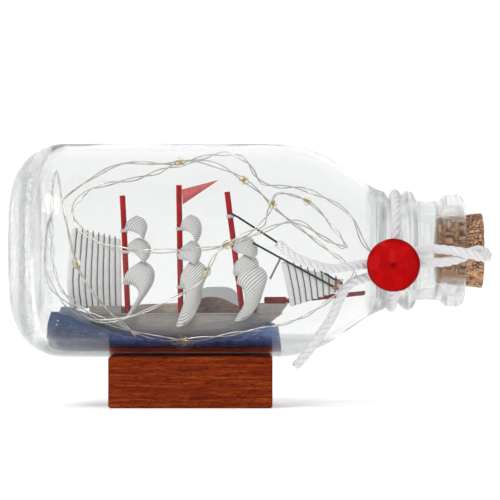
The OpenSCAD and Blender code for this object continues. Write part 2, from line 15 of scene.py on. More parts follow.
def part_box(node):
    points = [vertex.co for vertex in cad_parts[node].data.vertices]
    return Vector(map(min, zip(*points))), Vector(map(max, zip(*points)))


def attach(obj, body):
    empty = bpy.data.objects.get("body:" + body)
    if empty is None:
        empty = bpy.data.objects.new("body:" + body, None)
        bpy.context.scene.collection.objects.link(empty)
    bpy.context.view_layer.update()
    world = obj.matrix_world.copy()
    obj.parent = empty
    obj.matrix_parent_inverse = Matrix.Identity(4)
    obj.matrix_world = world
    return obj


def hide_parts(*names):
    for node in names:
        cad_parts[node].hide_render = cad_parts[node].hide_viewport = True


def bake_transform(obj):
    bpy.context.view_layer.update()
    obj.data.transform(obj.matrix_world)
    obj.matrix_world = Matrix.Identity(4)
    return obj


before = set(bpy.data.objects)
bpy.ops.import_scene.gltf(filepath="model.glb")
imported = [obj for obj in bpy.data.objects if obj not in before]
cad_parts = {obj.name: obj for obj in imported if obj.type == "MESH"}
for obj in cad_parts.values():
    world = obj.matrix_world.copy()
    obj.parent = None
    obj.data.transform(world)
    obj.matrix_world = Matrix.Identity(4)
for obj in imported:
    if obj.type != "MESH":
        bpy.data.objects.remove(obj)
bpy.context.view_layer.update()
MM = 0.001
ROOT, STOPPER = "bottle_and_ship", "stopper"


def node_box(name):
    low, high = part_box(name)
    return Vector(low) / MM, Vector(high) / MM


BOTTLE_LOW, BOTTLE_HIGH = node_box("glass_bottle")
AXIS = (BOTTLE_LOW.z + BOTTLE_HIGH.z) / 2
BOTTLE_R = (BOTTLE_HIGH.z - BOTTLE_LOW.z) / 2
BASE_X, LIP_X = BOTTLE_LOW.x, BOTTLE_HIGH.x


def at(x, y, z):
    """A point in metres, from millimetres with the height measured from the bottle's axis."""
    return Vector((x * MM, y * MM, (z + AXIS) * MM))


# ---------------------------------------------------------------- camera, light and stage

CAMERA_DISTANCE = 0.8
VIEW_WIDTH = 0.13305
VIEW_X = 0.0156


def add_camera():
    data = bpy.data.cameras.new("camera")
    data.sensor_width = 36
    data.lens = data.sensor_width * CAMERA_DISTANCE / VIEW_WIDTH
    camera = bpy.data.objects.new("camera", data)
    camera.location = (VIEW_X, -CAMERA_DISTANCE, (AXIS + 0.13) * MM)
    camera.rotation_euler = (math.radians(90), 0, 0)
    bpy.context.scene.collection.objects.link(camera)
    bpy.context.scene.camera = camera


def add_area(name, place, target, size, power):
    data = bpy.data.lights.new(name, "AREA")
    data.shape = "RECTANGLE"
    data.size, data.size_y = size
    data.energy = power
    lamp = bpy.data.objects.new(name, data)
    lamp.location = place
    lamp.rotation_euler = (Vector(target) - Vector(place)).to_track_quat("-Z", "Y").to_euler()
    bpy.context.scene.collection.objects.link(lamp)


def add_world():
    """White studio light, greyer to the sides, overhead and behind the camera, to draw the glass."""
    world = bpy.data.worlds.new("studio")
    bpy.context.scene.world = world
    world.use_nodes = True
    tree = world.node_tree
    background = tree.nodes["Background"]
    coords = tree.nodes.new("ShaderNodeTexCoord")
    split = tree.nodes.new("ShaderNodeSeparateXYZ")
    ramp = tree.nodes.new("ShaderNodeValToRGB")
    stops = [(0.0, 0.62), (0.55, 0.60), (0.85, 0.97), (1.0, 1.0)]
    while len(ramp.color_ramp.elements) < len(stops):
        ramp.color_ramp.elements.new(0.5)
    for element, (place, grey) in zip(ramp.color_ramp.elements, stops):
        element.position = place
        element.color = (grey, grey, grey * 0.995, 1)
    half = tree.nodes.new("ShaderNodeMath")
    half.operation = "MULTIPLY_ADD"
    half.inputs[1].default_value = half.inputs[2].default_value = 0.5
    tree.links.new(coords.outputs["Generated"], split.inputs[0])
    tree.links.new(split.outputs["Y"], half.inputs[0])
    tree.links.new(half.outputs[0], ramp.inputs[0])
    tree.links.new(ramp.outputs[0], background.inputs["Color"])
    background.inputs["Strength"].default_value = 0.9


def add_stage():
    """A pale floor that curves up into a wall behind the object."""
    half, front, bend, height, radius = 2.5, -2.5, 1.2, 2.5, 0.5
    rows = [(front, 0.0), (bend, 0.0)]
    rows += [(bend + radius * math.sin(a), radius - radius * math.cos(a))
             for a in (math.radians(d) for d in range(10, 91, 10))]
    rows.append((bend + radius, height))
    mesh = bpy.data.meshes.new("stage_floor")
    points = [(x, y, z) for y, z in rows for x in (-half, half)]
    faces = [(2 * i, 2 * i + 1, 2 * i + 3, 2 * i + 2) for i in range(len(rows) - 1)]
    mesh.from_pydata(points, [], faces)
    for face in mesh.polygons:
        face.use_smooth = True
    floor = bpy.data.objects.new("stage_floor", mesh)
    bpy.context.scene.collection.objects.link(floor)
    look = Look("stage_white", (0.93, 0.93, 0.93), 0.9, Specular_IOR_Level=0.0, Emission_Strength=0.34)
    look.set("Emission Color", (1, 1, 1, 1))
    look.colour(look.ramp(look.noise(6), [(0.3, (0.925, 0.925, 0.925)), (0.7, (0.935, 0.935, 0.935))]))
    mesh.materials.append(look.material)


# ---------------------------------------------------------------- materials

class Look:
    """A Principled material and the few texture nodes that the scene uses, in millimetres."""

    def __init__(self, name, colour, roughness, **values):
        self.material = bpy.data.materials.new(name)
        self.material.use_nodes = True
        self.tree = self.material.node_tree
        self.shader = self.tree.nodes["Principled BSDF"]
        self.set("Base Color", (*colour, 1))
        self.set("Roughness", roughness)
        for key, value in values.items():
            self.set(key.replace("_", " "), value)
        self.material.diffuse_color = (*colour, 1)

    def set(self, socket, value):
        self.shader.inputs[socket].default_value = value

    def node(self, kind, **values):
        made = self.tree.nodes.new("ShaderNode" + kind)
        for key, value in values.items():
            setattr(made, key, value)
        return made

    def link(self, source, target):
        self.tree.links.new(source, target)

    def coords(self, scale=(1, 1, 1), output="Object", turn=(0, 0, 0)):
        source = self.node("TexCoord")
        mapping = self.node("Mapping")
        size = 1 / MM if output == "Object" else 1
        mapping.inputs["Scale"].default_value = [size * s for s in scale]
        mapping.inputs["Rotation"].default_value = turn
        self.link(source.outputs[output], mapping.inputs["Vector"])
        return mapping.outputs[0]

    def noise(self, scale, detail=3, vector=None, distortion=0):
        made = self.node("TexNoise")
        made.inputs["Scale"].default_value = scale
        made.inputs["Detail"].default_value = detail
        made.inputs["Distortion"].default_value = distortion
        self.link(vector or self.coords(), made.inputs["Vector"])
        return made.outputs["Fac"]

    def cells(self, scale, feature="F1", output="Distance", vector=None):
        made = self.node("TexVoronoi", feature=feature)
        made.inputs["Scale"].default_value = scale
        self.link(vector or self.coords(), made.inputs["Vector"])
        return made.outputs[output]

    def waves(self, scale, distortion, vector, direction="X"):
        made = self.node("TexWave", bands_direction=direction)
        made.inputs["Scale"].default_value = scale
        made.inputs["Distortion"].default_value = distortion
        self.link(vector, made.inputs["Vector"])
        return made.outputs["Fac"]

    def ramp(self, fac, stops):
        made = self.node("ValToRGB")
        ramp = made.color_ramp
        while len(ramp.elements) < len(stops):
            ramp.elements.new(0.5)
        for element, (place, colour) in zip(ramp.elements, stops):
            element.position = place
            element.color = (*colour, 1) if len(colour) == 3 else colour
        self.link(fac, made.inputs[0])
        return made.outputs[0]

    def grey(self, fac, low, high, start=0.0, end=1.0):
        return self.ramp(fac, [(start, (low,) * 3), (end, (high,) * 3)])

    def past(self, place, limit, high=1, end=1.0):
        """Grey that rises from black, where place passes limit, to high at end millimetres beyond."""
        return self.grey(self.maths("SUBTRACT", place, limit), 0, high, 0, end)

    def rise(self, place, start, length, high=1, end=1.0):
        """Grey that rises from black at start to high, over the given share of a length."""
        part = self.maths("DIVIDE", self.maths("SUBTRACT", place, start), length)
        return self.grey(part, 0, high, 0, end)

    def mix(self, fac, a, b):
        made = self.node("Mix", data_type="RGBA")
        for value, socket in ((fac, made.inputs[0]), (a, made.inputs[6]), (b, made.inputs[7])):
            if isinstance(value, (float, int)):
                socket.default_value = value
            elif isinstance(value, tuple):
                socket.default_value = (*value, 1)
            else:
                self.link(value, socket)
        return made.outputs[2]

    def maths(self, how, a, b=0.0):
        made = self.node("Math", operation=how)
        for value, socket in ((a, made.inputs[0]), (b, made.inputs[1])):
            if isinstance(value, (float, int)):
                socket.default_value = value
            else:
                self.link(value, socket)
        return made.outputs[0]

    def axis_part(self, output="Object", part="X"):
        split = self.node("SeparateXYZ")
        self.link(self.coords(output=output), split.inputs[0])
        return split.outputs[part]

    def blend_shaders(self, fac, a, b):
        made = self.node("MixShader")
        for value, socket in zip((fac, a, b), made.inputs):
            self.link(value, socket)
        return made.outputs[0]

    def colour(self, socket):
        self.link(socket, self.shader.inputs["Base Color"])

    def roughness(self, socket):
        self.link(socket, self.shader.inputs["Roughness"])

    def bump(self, height, strength, depth):
        made = self.node("Bump")
        made.inputs["Strength"].default_value = strength
        made.inputs["Distance"].default_value = depth * MM
        self.link(height, made.inputs["Height"])
        last = self.shader.inputs["Normal"]
        if last.is_linked:
            self.link(last.links[0].from_socket, made.inputs["Normal"])
        self.link(made.outputs[0], last)
        return self


def lit_glass(name, colour, roughness, ior, trapped=False):
    """Clear glass that lets lamps and soft light through to what it holds.

    With trapped, it is partly plain clear where thick glass would trap light: at the bottle's base,
    in its neck, and along the bottom, where the putty wets it. At the base and in the neck its colour
    has darker streaks, painted shade. Where the stand holds it, a painted view of the wood, as the
    wet glass would show it, is mixed in.
    """
    look = Look(name, colour, roughness, Transmission_Weight=1.0, IOR=ior)
    path = look.node("LightPath")
    clear = look.node("BsdfTransparent")
    clear.inputs["Color"].default_value = (*[c * 0.985 for c in colour], 1)
    share = look.maths("MAXIMUM", path.outputs["Is Shadow Ray"], path.outputs["Is Diffuse Ray"])
    if trapped:
        x, z = look.axis_part(part="X"), look.axis_part(part="Z")
        base_x, streak_x, neck_x = BASE_X + 7.4, BASE_X + 6.4, 46.5
        wet_z, wood_z = AXIS - 22.8, AXIS - 25.4
        for part in (look.past(base_x, x, 0.45), look.past(x, neck_x, 0.25), look.past(wet_z, z, 0.6)):
            share = look.maths("MAXIMUM", share, part)
        # Painted shade: darker streaks in the glass's colour at the base and in the neck.
        ends = look.maths("MAXIMUM", look.past(streak_x, x), look.past(x, neck_x))
        streak = look.grey(look.noise(1.0, 4, look.coords((2.0, 0.22, 0.10))), 0, 1, 0.37, 0.53)
        painted_shade_streaks = look.mix(streak, tuple(c * 0.80 for c in colour), tuple(c * 0.98 for c in colour))
        look.colour(look.mix(ends, colour, painted_shade_streaks))
    surface = look.blend_shaders(share, look.shader.outputs[0], clear.outputs[0])
    if trapped:
        # A painted view of the wood under the bottle, as the wet glass would show it, mixed into the glass
        # where the stand holds it.
        stand_low, stand_high = node_box("wood_stand")
        wood = look.node("BsdfDiffuse")
        grain = look.noise(1.0, 4, look.coords((0.2, 2.0, 4.0)), 0.3)
        painted_wood_view = look.ramp(grain, [(0.35, (0.26, 0.03, 0.009)), (0.65, (0.62, 0.08, 0.02))])
        look.link(painted_wood_view, wood.inputs["Color"])
        inside = look.maths("MULTIPLY", look.past(x, stand_low.x, end=0.3), look.past(stand_high.x, x, 0.8))
        depth = look.past(wood_z, z, 0.85, 0.7)
        surface = look.blend_shaders(look.maths("MULTIPLY", inside, depth), surface, wood.outputs[0])
    look.link(surface, look.tree.nodes["Material Output"].inputs["Surface"])
    return look


def wood_look():
    """Stained softwood: long grain, short dark pores and very faint slanting saw marks."""
    look = Look("stained_wood", (0.2, 0.03, 0.01), 0.55, Specular_IOR_Level=0.06)
    grain = look.noise(1.0, 8, look.coords((0.05, 1.0, 1.2)), 0.8)
    base = look.ramp(grain, [(0.3, (0.13, 0.013, 0.002)), (0.5, (0.27, 0.034, 0.004)),
                             (0.72, (0.40, 0.075, 0.012))])
    fine = look.noise(1.0, 4, look.coords((0.22, 5.0, 6.0), turn=(0, 0.03, 0)), 0.4)
    base = look.mix(look.grey(fine, 0.85, 0, 0.36, 0.58), base, (0.10, 0.008, 0.002))
    pores = look.noise(1.0, 2, look.coords((0.6, 4.5, 5.5), turn=(0, 0.05, 0)), 0.3)
    dark = look.grey(pores, 1, 0, 0.35, 0.42)
    worn = look.mix(dark, base, (0.035, 0.004, 0.002))
    saw = look.waves(0.12, 3.5, look.coords(turn=(0, math.radians(-38), 0)))
    here = look.grey(look.noise(0.22, 1), 0, 0.8, 0.45, 0.6)
    line = look.maths("MULTIPLY", look.grey(saw, 0, 1, 0.975, 0.998), here)
    low = look.grey(look.maths("DIVIDE", look.axis_part(part="Z"), 7.0), 1, 0, 0.5, 1.0)
    marked = look.mix(look.maths("MULTIPLY", line, low), worn, (0.05, 0.006, 0.003))
    look.colour(marked)
    look.roughness(look.grey(grain, 0.45, 0.65, 0.3, 0.7))
    look.bump(fine, 0.5, 0.12)
    return look.bump(pores, 0.4, 0.12).material


def putty_look():
    """Blue putty: darker low down, with painted light over the stand, cloudy patches, dark spots and pale
    flecks.
    """
    look = Look("blue_putty", (0.1, 0.15, 0.3), 0.4, Specular_IOR_Level=0.1)
    height = look.axis_part(part="Z")
    along = look.axis_part(part="X")
    low = look.rise(height, AXIS - 27, 9)
    bank = look.mix(low, (0.024, 0.030, 0.065), (0.032, 0.068, 0.165))
    # Painted light: over the stand the blue is much paler, standing in for light that the putty there does
    # not get.
    painted_light_over_stand = look.mix(low, (0.05, 0.05, 0.12), (0.15, 0.27, 0.60))
    over_stand = look.rise(along, -24, 6)
    blue = look.mix(over_stand, bank, painted_light_over_stand)
    smear = look.rise(height, AXIS - 18.5, 5, end=0.7)
    forward = look.rise(along, -9, 6)
    cloud = look.noise(0.4, 6, None, 0.6)
    blue = look.mix(look.grey(cloud, 0, 0.8, 0.45, 0.68), blue, (0.022, 0.040, 0.105))
    rubbed = look.noise(0.9, 5, look.coords((0.5, 1, 1.4)))
    blue = look.mix(look.grey(rubbed, 0, 0.4, 0.52, 0.72), blue, (0.16, 0.24, 0.40))
    # Small dark spots, scattered over the putty.
    dark_spot = look.grey(look.cells(0.26), 1, 0, 0.12, 0.3)
    blue = look.mix(look.maths("MULTIPLY", dark_spot, 0.75), blue, (0.012, 0.018, 0.05))
    fleck = look.grey(look.cells(0.6), 1, 0, 0.10, 0.2)
    sparse = look.grey(look.noise(0.5, 1), 0, 1, 0.5, 0.56)
    blue = look.mix(look.maths("MULTIPLY", fleck, sparse), blue, (0.50, 0.58, 0.62))
    blue = look.mix(look.maths("MULTIPLY", smear, forward), blue, (0.60, 0.61, 0.63))
    look.colour(blue)
    look.bump(look.noise(1.3, 4), 0.5, 0.4)
    return look.bump(look.grey(look.cells(1.3), 0, 1, 0.0, 0.35), 0.35, 0.25).material


def painted_look(name, low, high, roughness=0.55, scale=2.0, bump=0.25, stretch=(0.3, 1, 1)):
    """Hand-brushed paint: streaks of two tones with a slight relief."""
    look = Look(name, high, roughness, Specular_IOR_Level=0.15)
    streak = look.noise(scale, 5, look.coords(stretch), 0.3)
    look.colour(look.ramp(streak, [(0.35, low), (0.65, high)]))
    look.roughness(look.grey(streak, roughness - 0.08, roughness + 0.1))
    return look.bump(streak, bump, 0.12).material


def cabin_look():
    """Brown cabin paint, paler towards the stern."""
    look = Look("cabin_paint", (0.3, 0.2, 0.16), 0.65, Specular_IOR_Level=0.15)
    streak = look.noise(2.0, 5, look.coords((0.3, 1, 1)), 0.3)
    fore = look.ramp(streak, [(0.35, (0.22, 0.15, 0.13)), (0.65, (0.34, 0.26, 0.23))])
    aft = look.ramp(streak, [(0.35, (0.58, 0.50, 0.45)), (0.65, (0.74, 0.66, 0.60))])
    look.colour(look.mix(look.rise(look.axis_part(part="X"), -5, 7), aft, fore))
    return look.bump(streak, 0.25, 0.12).material


def hull_look():
    """Grey-tan painted wood with fine planks along the ship."""
    look = Look("hull_paint", (0.3, 0.27, 0.23), 0.6)
    streak = look.noise(1.5, 5, look.coords((0.12, 1, 1.6)), 0.2)
    base = look.ramp(streak, [(0.3, (0.37, 0.325, 0.30)), (0.7, (0.52, 0.465, 0.43))])
    plank = look.waves(0.52, 0.25, look.coords((0.02, 0.02, 1)), "Z")
    seam = look.grey(plank, 0.35, 0, 0.0, 0.12)
    look.colour(look.mix(seam, base, (0.12, 0.10, 0.085)))
    look.bump(plank, 0.12, 0.1)
    return look.bump(streak, 0.25, 0.1).material


def sail_look():
    """Off-white ribbed cloth, with painted shade in the grooves between ribs: the UVs' X counts the ribs."""
    look = Look("sail_cloth", (0.62, 0.60, 0.59), 0.75, Sheen_Weight=0.2)
    phase = look.maths("FRACT", look.axis_part("UV"))
    # Painted shade: the cloth is made much darker in the grooves between ribs.
    groove_shade = look.grey(look.maths("ABSOLUTE", look.maths("SUBTRACT", phase, 0.5)), 0, 1, 0.3, 0.5)
    fibre = look.noise(3.0, 4)
    cloth = look.ramp(fibre, [(0.3, (0.80, 0.78, 0.77)), (0.7, (0.94, 0.92, 0.91))])
    look.colour(look.mix(groove_shade, cloth, (0.14, 0.13, 0.13)))
    return look.bump(fibre, 0.35, 0.08).material


def thread_look(name, low, high, pitch=1.0):
    """Twisted fibre: slanting yarn lines from the UVs of a tube, along and round it."""
    look = Look(name, high, 0.8, Sheen_Weight=0.3)
    uv = look.coords((1 / pitch, 1, 1), "UV")
    yarn = look.node("TexWave", bands_direction="DIAGONAL")
    yarn.inputs["Scale"].default_value = 1.4
    yarn.inputs["Distortion"].default_value = 0.8
    look.link(uv, yarn.inputs["Vector"])
    fibre = look.noise(5.0, 4)
    tone = look.mix(0.4, yarn.outputs["Fac"], fibre)
    look.colour(look.ramp(tone, [(0.2, low), (0.6, high)]))
    return look.bump(tone, 0.5, 0.12).material


def cork_look():
    """Agglomerated cork: warm granules, dark cracks between some of them and dark specks."""
    look = Look("cork_grain", (0.45, 0.27, 0.15), 0.85)
    warp = look.noise(0.9, 4)
    spread = look.node("VectorMath", operation="ADD")
    look.link(look.coords(), spread.inputs[0])
    look.link(look.grey(warp, -0.6, 0.9), spread.inputs[1])
    vector = spread.outputs[0]
    granule = look.cells(1.1, "F1", "Color", vector)
    shade = look.node("SeparateColor")
    look.link(granule, shade.inputs[0])
    base = look.ramp(shade.outputs[0], [(0.0, (0.34, 0.16, 0.08)), (0.5, (0.50, 0.27, 0.14)),
                                        (1.0, (0.68, 0.44, 0.27))])
    fine = look.noise(3.5, 5)
    base = look.mix(look.grey(fine, 0, 0.5, 0.4, 0.8), base, (0.36, 0.17, 0.08))
    edge = look.cells(0.85, "DISTANCE_TO_EDGE", "Distance", vector)
    upper = look.rise(look.axis_part(part="Z"), AXIS - 1, 4, 0.13)
    open_here = look.grey(look.maths("ADD", look.noise(0.36, 3), upper), 0, 1, 0.44, 0.53)
    ragged = look.maths("ADD", edge, look.grey(look.noise(2.6, 3), -0.07, 0.09))
    crack = look.maths("MULTIPLY", look.grey(ragged, 1, 0, 0.06, 0.16), open_here)
    speck = look.maths("MULTIPLY", look.grey(look.cells(1.9), 1, 0, 0.1, 0.2),
                       look.grey(look.noise(1.2, 1), 0, 1, 0.55, 0.62))
    dark = look.maths("MAXIMUM", crack, speck)
    look.colour(look.mix(dark, base, (0.045, 0.010, 0.008)))
    look.bump(look.grey(dark, 1, 0), 0.8, 0.35)
    return look.bump(fine, 0.5, 0.15).material


def seal_look():
    """Deep red cast resin with a glassy face, faint spokes, a dark middle, painted shade at the rim, and
    painted highlights and shade on faint facets.
    """
    look = Look("red_resin", (0.5, 0.004, 0.005), 0.22, Specular_IOR_Level=0.05)
    low, high = node_box("seal_disc")
    centre = (low + high) / 2
    place = look.node("VectorMath", operation="SUBTRACT")
    look.link(look.coords(), place.inputs[0])
    place.inputs[1].default_value = centre
    split = look.node("SeparateXYZ")
    look.link(place.outputs[0], split.inputs[0])
    x, z = split.outputs["X"], split.outputs["Z"]
    radius = look.maths("SQRT", look.maths("ADD", look.maths("MULTIPLY", x, x), look.maths("MULTIPLY", z, z)))
    share = look.maths("DIVIDE", radius, (high.x - low.x) / 2)
    angle = look.maths("ARCTAN2", z, x)
    spoke_place = look.node("CombineXYZ")
    look.link(look.maths("MULTIPLY", angle, 2.2), spoke_place.inputs[0])
    look.link(look.maths("MULTIPLY", share, 0.8), spoke_place.inputs[1])
    spokes = look.noise(1.6, 4, spoke_place.outputs[0], 0.4)
    # Dark in the middle; darker towards the rim, painted shade on the rolled rim.
    base = look.ramp(share, [(0.0, (0.16, 0.0, 0.001)), (0.08, (0.26, 0.0, 0.002)),
                             (0.16, (0.46, 0.002, 0.003)), (0.8, (0.52, 0.002, 0.003)),
                             (0.94, (0.38, 0.001, 0.002)), (1.0, (0.20, 0.001, 0.002))])
    dusk = look.grey(spokes, 0.75, 0, 0.32, 0.55)
    base = look.mix(look.maths("MULTIPLY", dusk, 0.35), base, (0.32, 0.001, 0.002))
    # Painted light and shade: some facets are tinted darker, and some brighter red as glossy highlights.
    facets = look.cells(0.38, output="Color")
    facet_light_and_shade = look.node("SeparateColor")
    look.link(facets, facet_light_and_shade.inputs[0])
    base = look.mix(look.grey(facet_light_and_shade.outputs[0], 0.35, 0, 0.1, 0.6), base, (0.22, 0.0, 0.001))
    look.colour(look.mix(look.grey(facet_light_and_shade.outputs[1], 0, 0.25, 0.7, 1.0), base, (0.80, 0.02, 0.02)))
    look.bump(look.noise(0.35, 3), 0.3, 0.6)
    return look.bump(look.grey(facets, 0, 1), 0.12, 0.3).material


def metal_look(name, colour, roughness):
    look = Look(name, colour, roughness, Metallic=1.0)
    brushed = look.noise(2.0, 4, look.coords((0.2, 3, 3)))
    look.roughness(look.grey(brushed, roughness - 0.08, roughness + 0.12))
    return look.bump(brushed, 0.15, 0.03).material


def moulded_look(name, colour, roughness):
    look = Look(name, colour, roughness)
    mottle = look.noise(1.2, 4)
    look.colour(look.ramp(mottle, [(0.3, tuple(c * 0.85 for c in colour)), (0.7, colour)]))
    return look.bump(look.noise(6.0, 2), 0.12, 0.05).material


# ---------------------------------------------------------------- mesh making

class Shape:
    """Collects rings of points, in metres, with UVs, and makes one mesh object of them."""

    def __init__(self):
        self.points, self.faces, self.uvs, self.slots = [], [], [], []

    def face(self, corners, uvs, slot):
        self.faces.append(tuple(corners))
        self.uvs.extend(uvs)
        self.slots.append(slot)

    def rings(self, rings, along, closed=False, slot=0):
        """A skin through closed rings of equal size; along gives each ring's U."""
        size, first = len(rings[0]), len(self.points)
        for ring in rings:
            self.points.extend(ring)
        last = len(rings) if closed else len(rings) - 1
        for i in range(last):
            j = (i + 1) % len(rings)
            for k in range(size):
                m = (k + 1) % size
                corners = [first + i * size + k, first + i * size + m,
                           first + j * size + m, first + j * size + k]
                end = along[j] if j else along[-1] + (along[-1] - along[-2])
                self.face(corners, [(along[i], k / size), (along[i], (k + 1) / size),
                                    (end, (k + 1) / size), (end, k / size)], slot)
        if not closed:
            for start, order in ((first + (len(rings) - 1) * size, range(size)),
                                 (first, range(size - 1, -1, -1))):
                self.face([start + k for k in order], [(0, 0)] * size, slot)

    def make(self, name, materials):
        mesh = bpy.data.meshes.new(name)
        mesh.from_pydata([tuple(p) for p in self.points], [], self.faces)
        layer = mesh.uv_layers.new(name="UVMap")
        for item, uv in zip(layer.data, self.uvs):
            item.uv = uv
        for material in materials:
            mesh.materials.append(material)
        for face, slot in zip(mesh.polygons, self.slots):
            face.use_smooth = True
            face.material_index = slot
        made = bpy.data.objects.new(name, mesh)
        bpy.context.scene.collection.objects.link(made)
        face_outward(made)
        return made


@contextmanager
def edited(piece):
    """Opens a piece's mesh for edits, and writes it back."""
    build = bmesh.new()
    build.from_mesh(piece.data)
    yield build
    build.to_mesh(piece.data)
    build.free()


def face_outward(piece):
    with edited(piece) as build:
        bmesh.ops.recalc_face_normals(build, faces=build.faces)


def weld(piece):
    """Joins points that meet, such as a turned shape's on its axis."""
    with edited(piece) as build:
        bmesh.ops.remove_doubles(build, verts=build.verts, dist=1e-6)
        bmesh.ops.recalc_face_normals(build, faces=build.faces)


def smooth_path(points, step):
    """A centripetal curve through the points, resampled at about the given step."""
    points = [2 * points[0] - points[1]] + points + [2 * points[-1] - points[-2]]
    fine = []
    for a, b, c, d in zip(points, points[1:], points[2:], points[3:]):
        knots = [0.0]
        for p, q in ((a, b), (b, c), (c, d)):
            knots.append(knots[-1] + max(1e-6, (q - p).length) ** 0.5)
        for i in range(16):
            t = knots[1] + (knots[2] - knots[1]) * i / 16
            p01 = a + (b - a) * ((t - knots[0]) / (knots[1] - knots[0]))
            p12 = b + (c - b) * ((t - knots[1]) / (knots[2] - knots[1]))
            p23 = c + (d - c) * ((t - knots[2]) / (knots[3] - knots[2]))
            q02 = p01 + (p12 - p01) * ((t - knots[0]) / (knots[2] - knots[0]))
            q13 = p12 + (p23 - p12) * ((t - knots[1]) / (knots[3] - knots[1]))
            fine.append(q02 + (q13 - q02) * ((t - knots[1]) / (knots[2] - knots[1])))
    fine.append(points[-2])
    return resampled(fine, step)


def resampled(points, step):
    """Evenly spaced points along a path, at about the given step."""
    lengths = [0.0]
    for p, q in zip(points, points[1:]):
        lengths.append(lengths[-1] + (q - p).length)
    count = max(2, round(lengths[-1] / step))
    out, k = [], 0
    for i in range(count + 1):
        want = lengths[-1] * i / count
        while k < len(points) - 2 and lengths[k + 1] < want:
            k += 1
        span = max(1e-9, lengths[k + 1] - lengths[k])
        out.append(points[k].lerp(points[k + 1], min(1, (want - lengths[k]) / span)))
    return out


def full_turn(count):
    """Evenly spaced angles, once round."""
    return [2 * math.pi * k / count for k in range(count)]


def signed_power(value, power):
    return math.copysign(abs(value) ** power, value)


def carried_frames(path, closed):
    """A normal and a binormal at each point of a path, carried along it without twist."""
    count = len(path)
    ways = []
    for i in range(count):
        before = path[i - 1] if i or closed else path[0]
        after = path[(i + 1) % count] if i < count - 1 or closed else path[-1]
        ways.append((after - before).normalized())
    normal = ways[0].orthogonal().normalized()
    frames = []
    for way in ways:
        normal = (normal - way * normal.dot(way)).normalized()
        frames.append((normal.copy(), way.cross(normal)))
    if closed:
        drift = frames[0][0].cross(frames[-1][0]).dot(ways[0])
        turn = -math.asin(max(-1, min(1, drift)))
        for i, (n, b) in enumerate(frames):
            a = turn * i / count
            frames[i] = (n * math.cos(a) + b * math.sin(a), b * math.cos(a) - n * math.sin(a))
    return frames


def path_length(path):
    return sum((q - p).length for p, q in zip(path, path[1:]))


def add_tube(shape, path, radius, sides, closed=False, slot=0):
    """A round tube; radius is one size, or one for each point of the path."""
    frames = carried_frames(path, closed)
    sizes = radius if isinstance(radius, list) else [radius] * len(path)
    step = path_length(path) / (len(path) - 1) / MM
    rings = [[p + (n * math.cos(a) + b * math.sin(a)) * size
              for a in full_turn(sides)]
             for p, (n, b), size in zip(path, frames, sizes)]
    shape.rings(rings, [i * step for i in range(len(path))], closed, slot=slot)


def add_strands(shape, path, count, strand_r, lay_r, pitch, sides, closed=False, wander=0.0):
    """Strands twisted round a path. wander lets the twist and the gap vary, as in hand-twisted wire."""
    frames = carried_frames(path, closed)
    total = path_length(path) + ((path[0] - path[-1]).length if closed else 0)
    turns = total / pitch
    if closed:
        turns = max(1, round(turns))
    for s in range(count):
        strand = []
        for i, (p, (n, b)) in enumerate(zip(path, frames)):
            share = i / len(path) if closed else i / (len(path) - 1)
            extra = wander * noise.noise(Vector((share * turns * 0.37, 0.5, 0.1)))
            a = 2 * math.pi * (turns * share + s / count + extra)
            apart = 1 + wander * 1.3 * noise.noise(Vector((share * turns * 0.9, 7.5, 0.3)))
            strand.append(p + (n * math.cos(a) + b * math.sin(a)) * lay_r * apart)
        add_tube(shape, strand, strand_r, sides, closed)


def lathe(profile, name, materials, steps):
    """A turned shape round the bottle's axis, from a closed profile of radius and X."""
    shape = Shape()
    columns = [[at(x, r * math.sin(a), r * math.cos(a)) for r, x in profile]
               for a in full_turn(steps)]
    shape.rings(columns, list(range(steps)), closed=True)
    made = shape.make(name, materials)
    weld(made)
    return made


def arc(centre, radius, start, end, steps):
    return [(centre[0] + radius * math.cos(math.radians(a)), centre[1] + radius * math.sin(math.radians(a)))
            for a in (start + (end - start) * i / steps for i in range(steps + 1))]


def copy_node(node, name, material, bevel, segments=2):
    """A copy of a CAD node's mesh as a piece of its own, with softened edges."""
    made = bpy.data.objects.new(name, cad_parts[node].data.copy())
    bpy.context.scene.collection.objects.link(made)
    with edited(made) as build:
        bmesh.ops.remove_doubles(build, verts=build.verts, dist=1e-6)
        bmesh.ops.dissolve_limit(build, angle_limit=math.radians(1), verts=build.verts, edges=build.edges)
        sharp = [e for e in build.edges if len(e.link_faces) == 2 and e.calc_face_angle(0) > 0.6]
        bmesh.ops.bevel(build, geom=sharp, offset=bevel * MM, segments=segments, affect="EDGES",
                        clamp_overlap=True)
    made.data.materials.clear()
    made.data.materials.append(material)
    for face in made.data.polygons:
        face.use_smooth = False
        face.material_index = 0
    return made


def paint(node, material):
    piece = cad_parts[node]
    if not piece.material_slots:
        piece.data.materials.append(material)
    for slot in piece.material_slots:
        slot.link = "OBJECT"
        slot.material = material


def put(piece, body, slot, *nodes):
    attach(piece, body)
    if nodes:
        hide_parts(*nodes)
    return piece


# ---------------------------------------------------------------- cords and lights

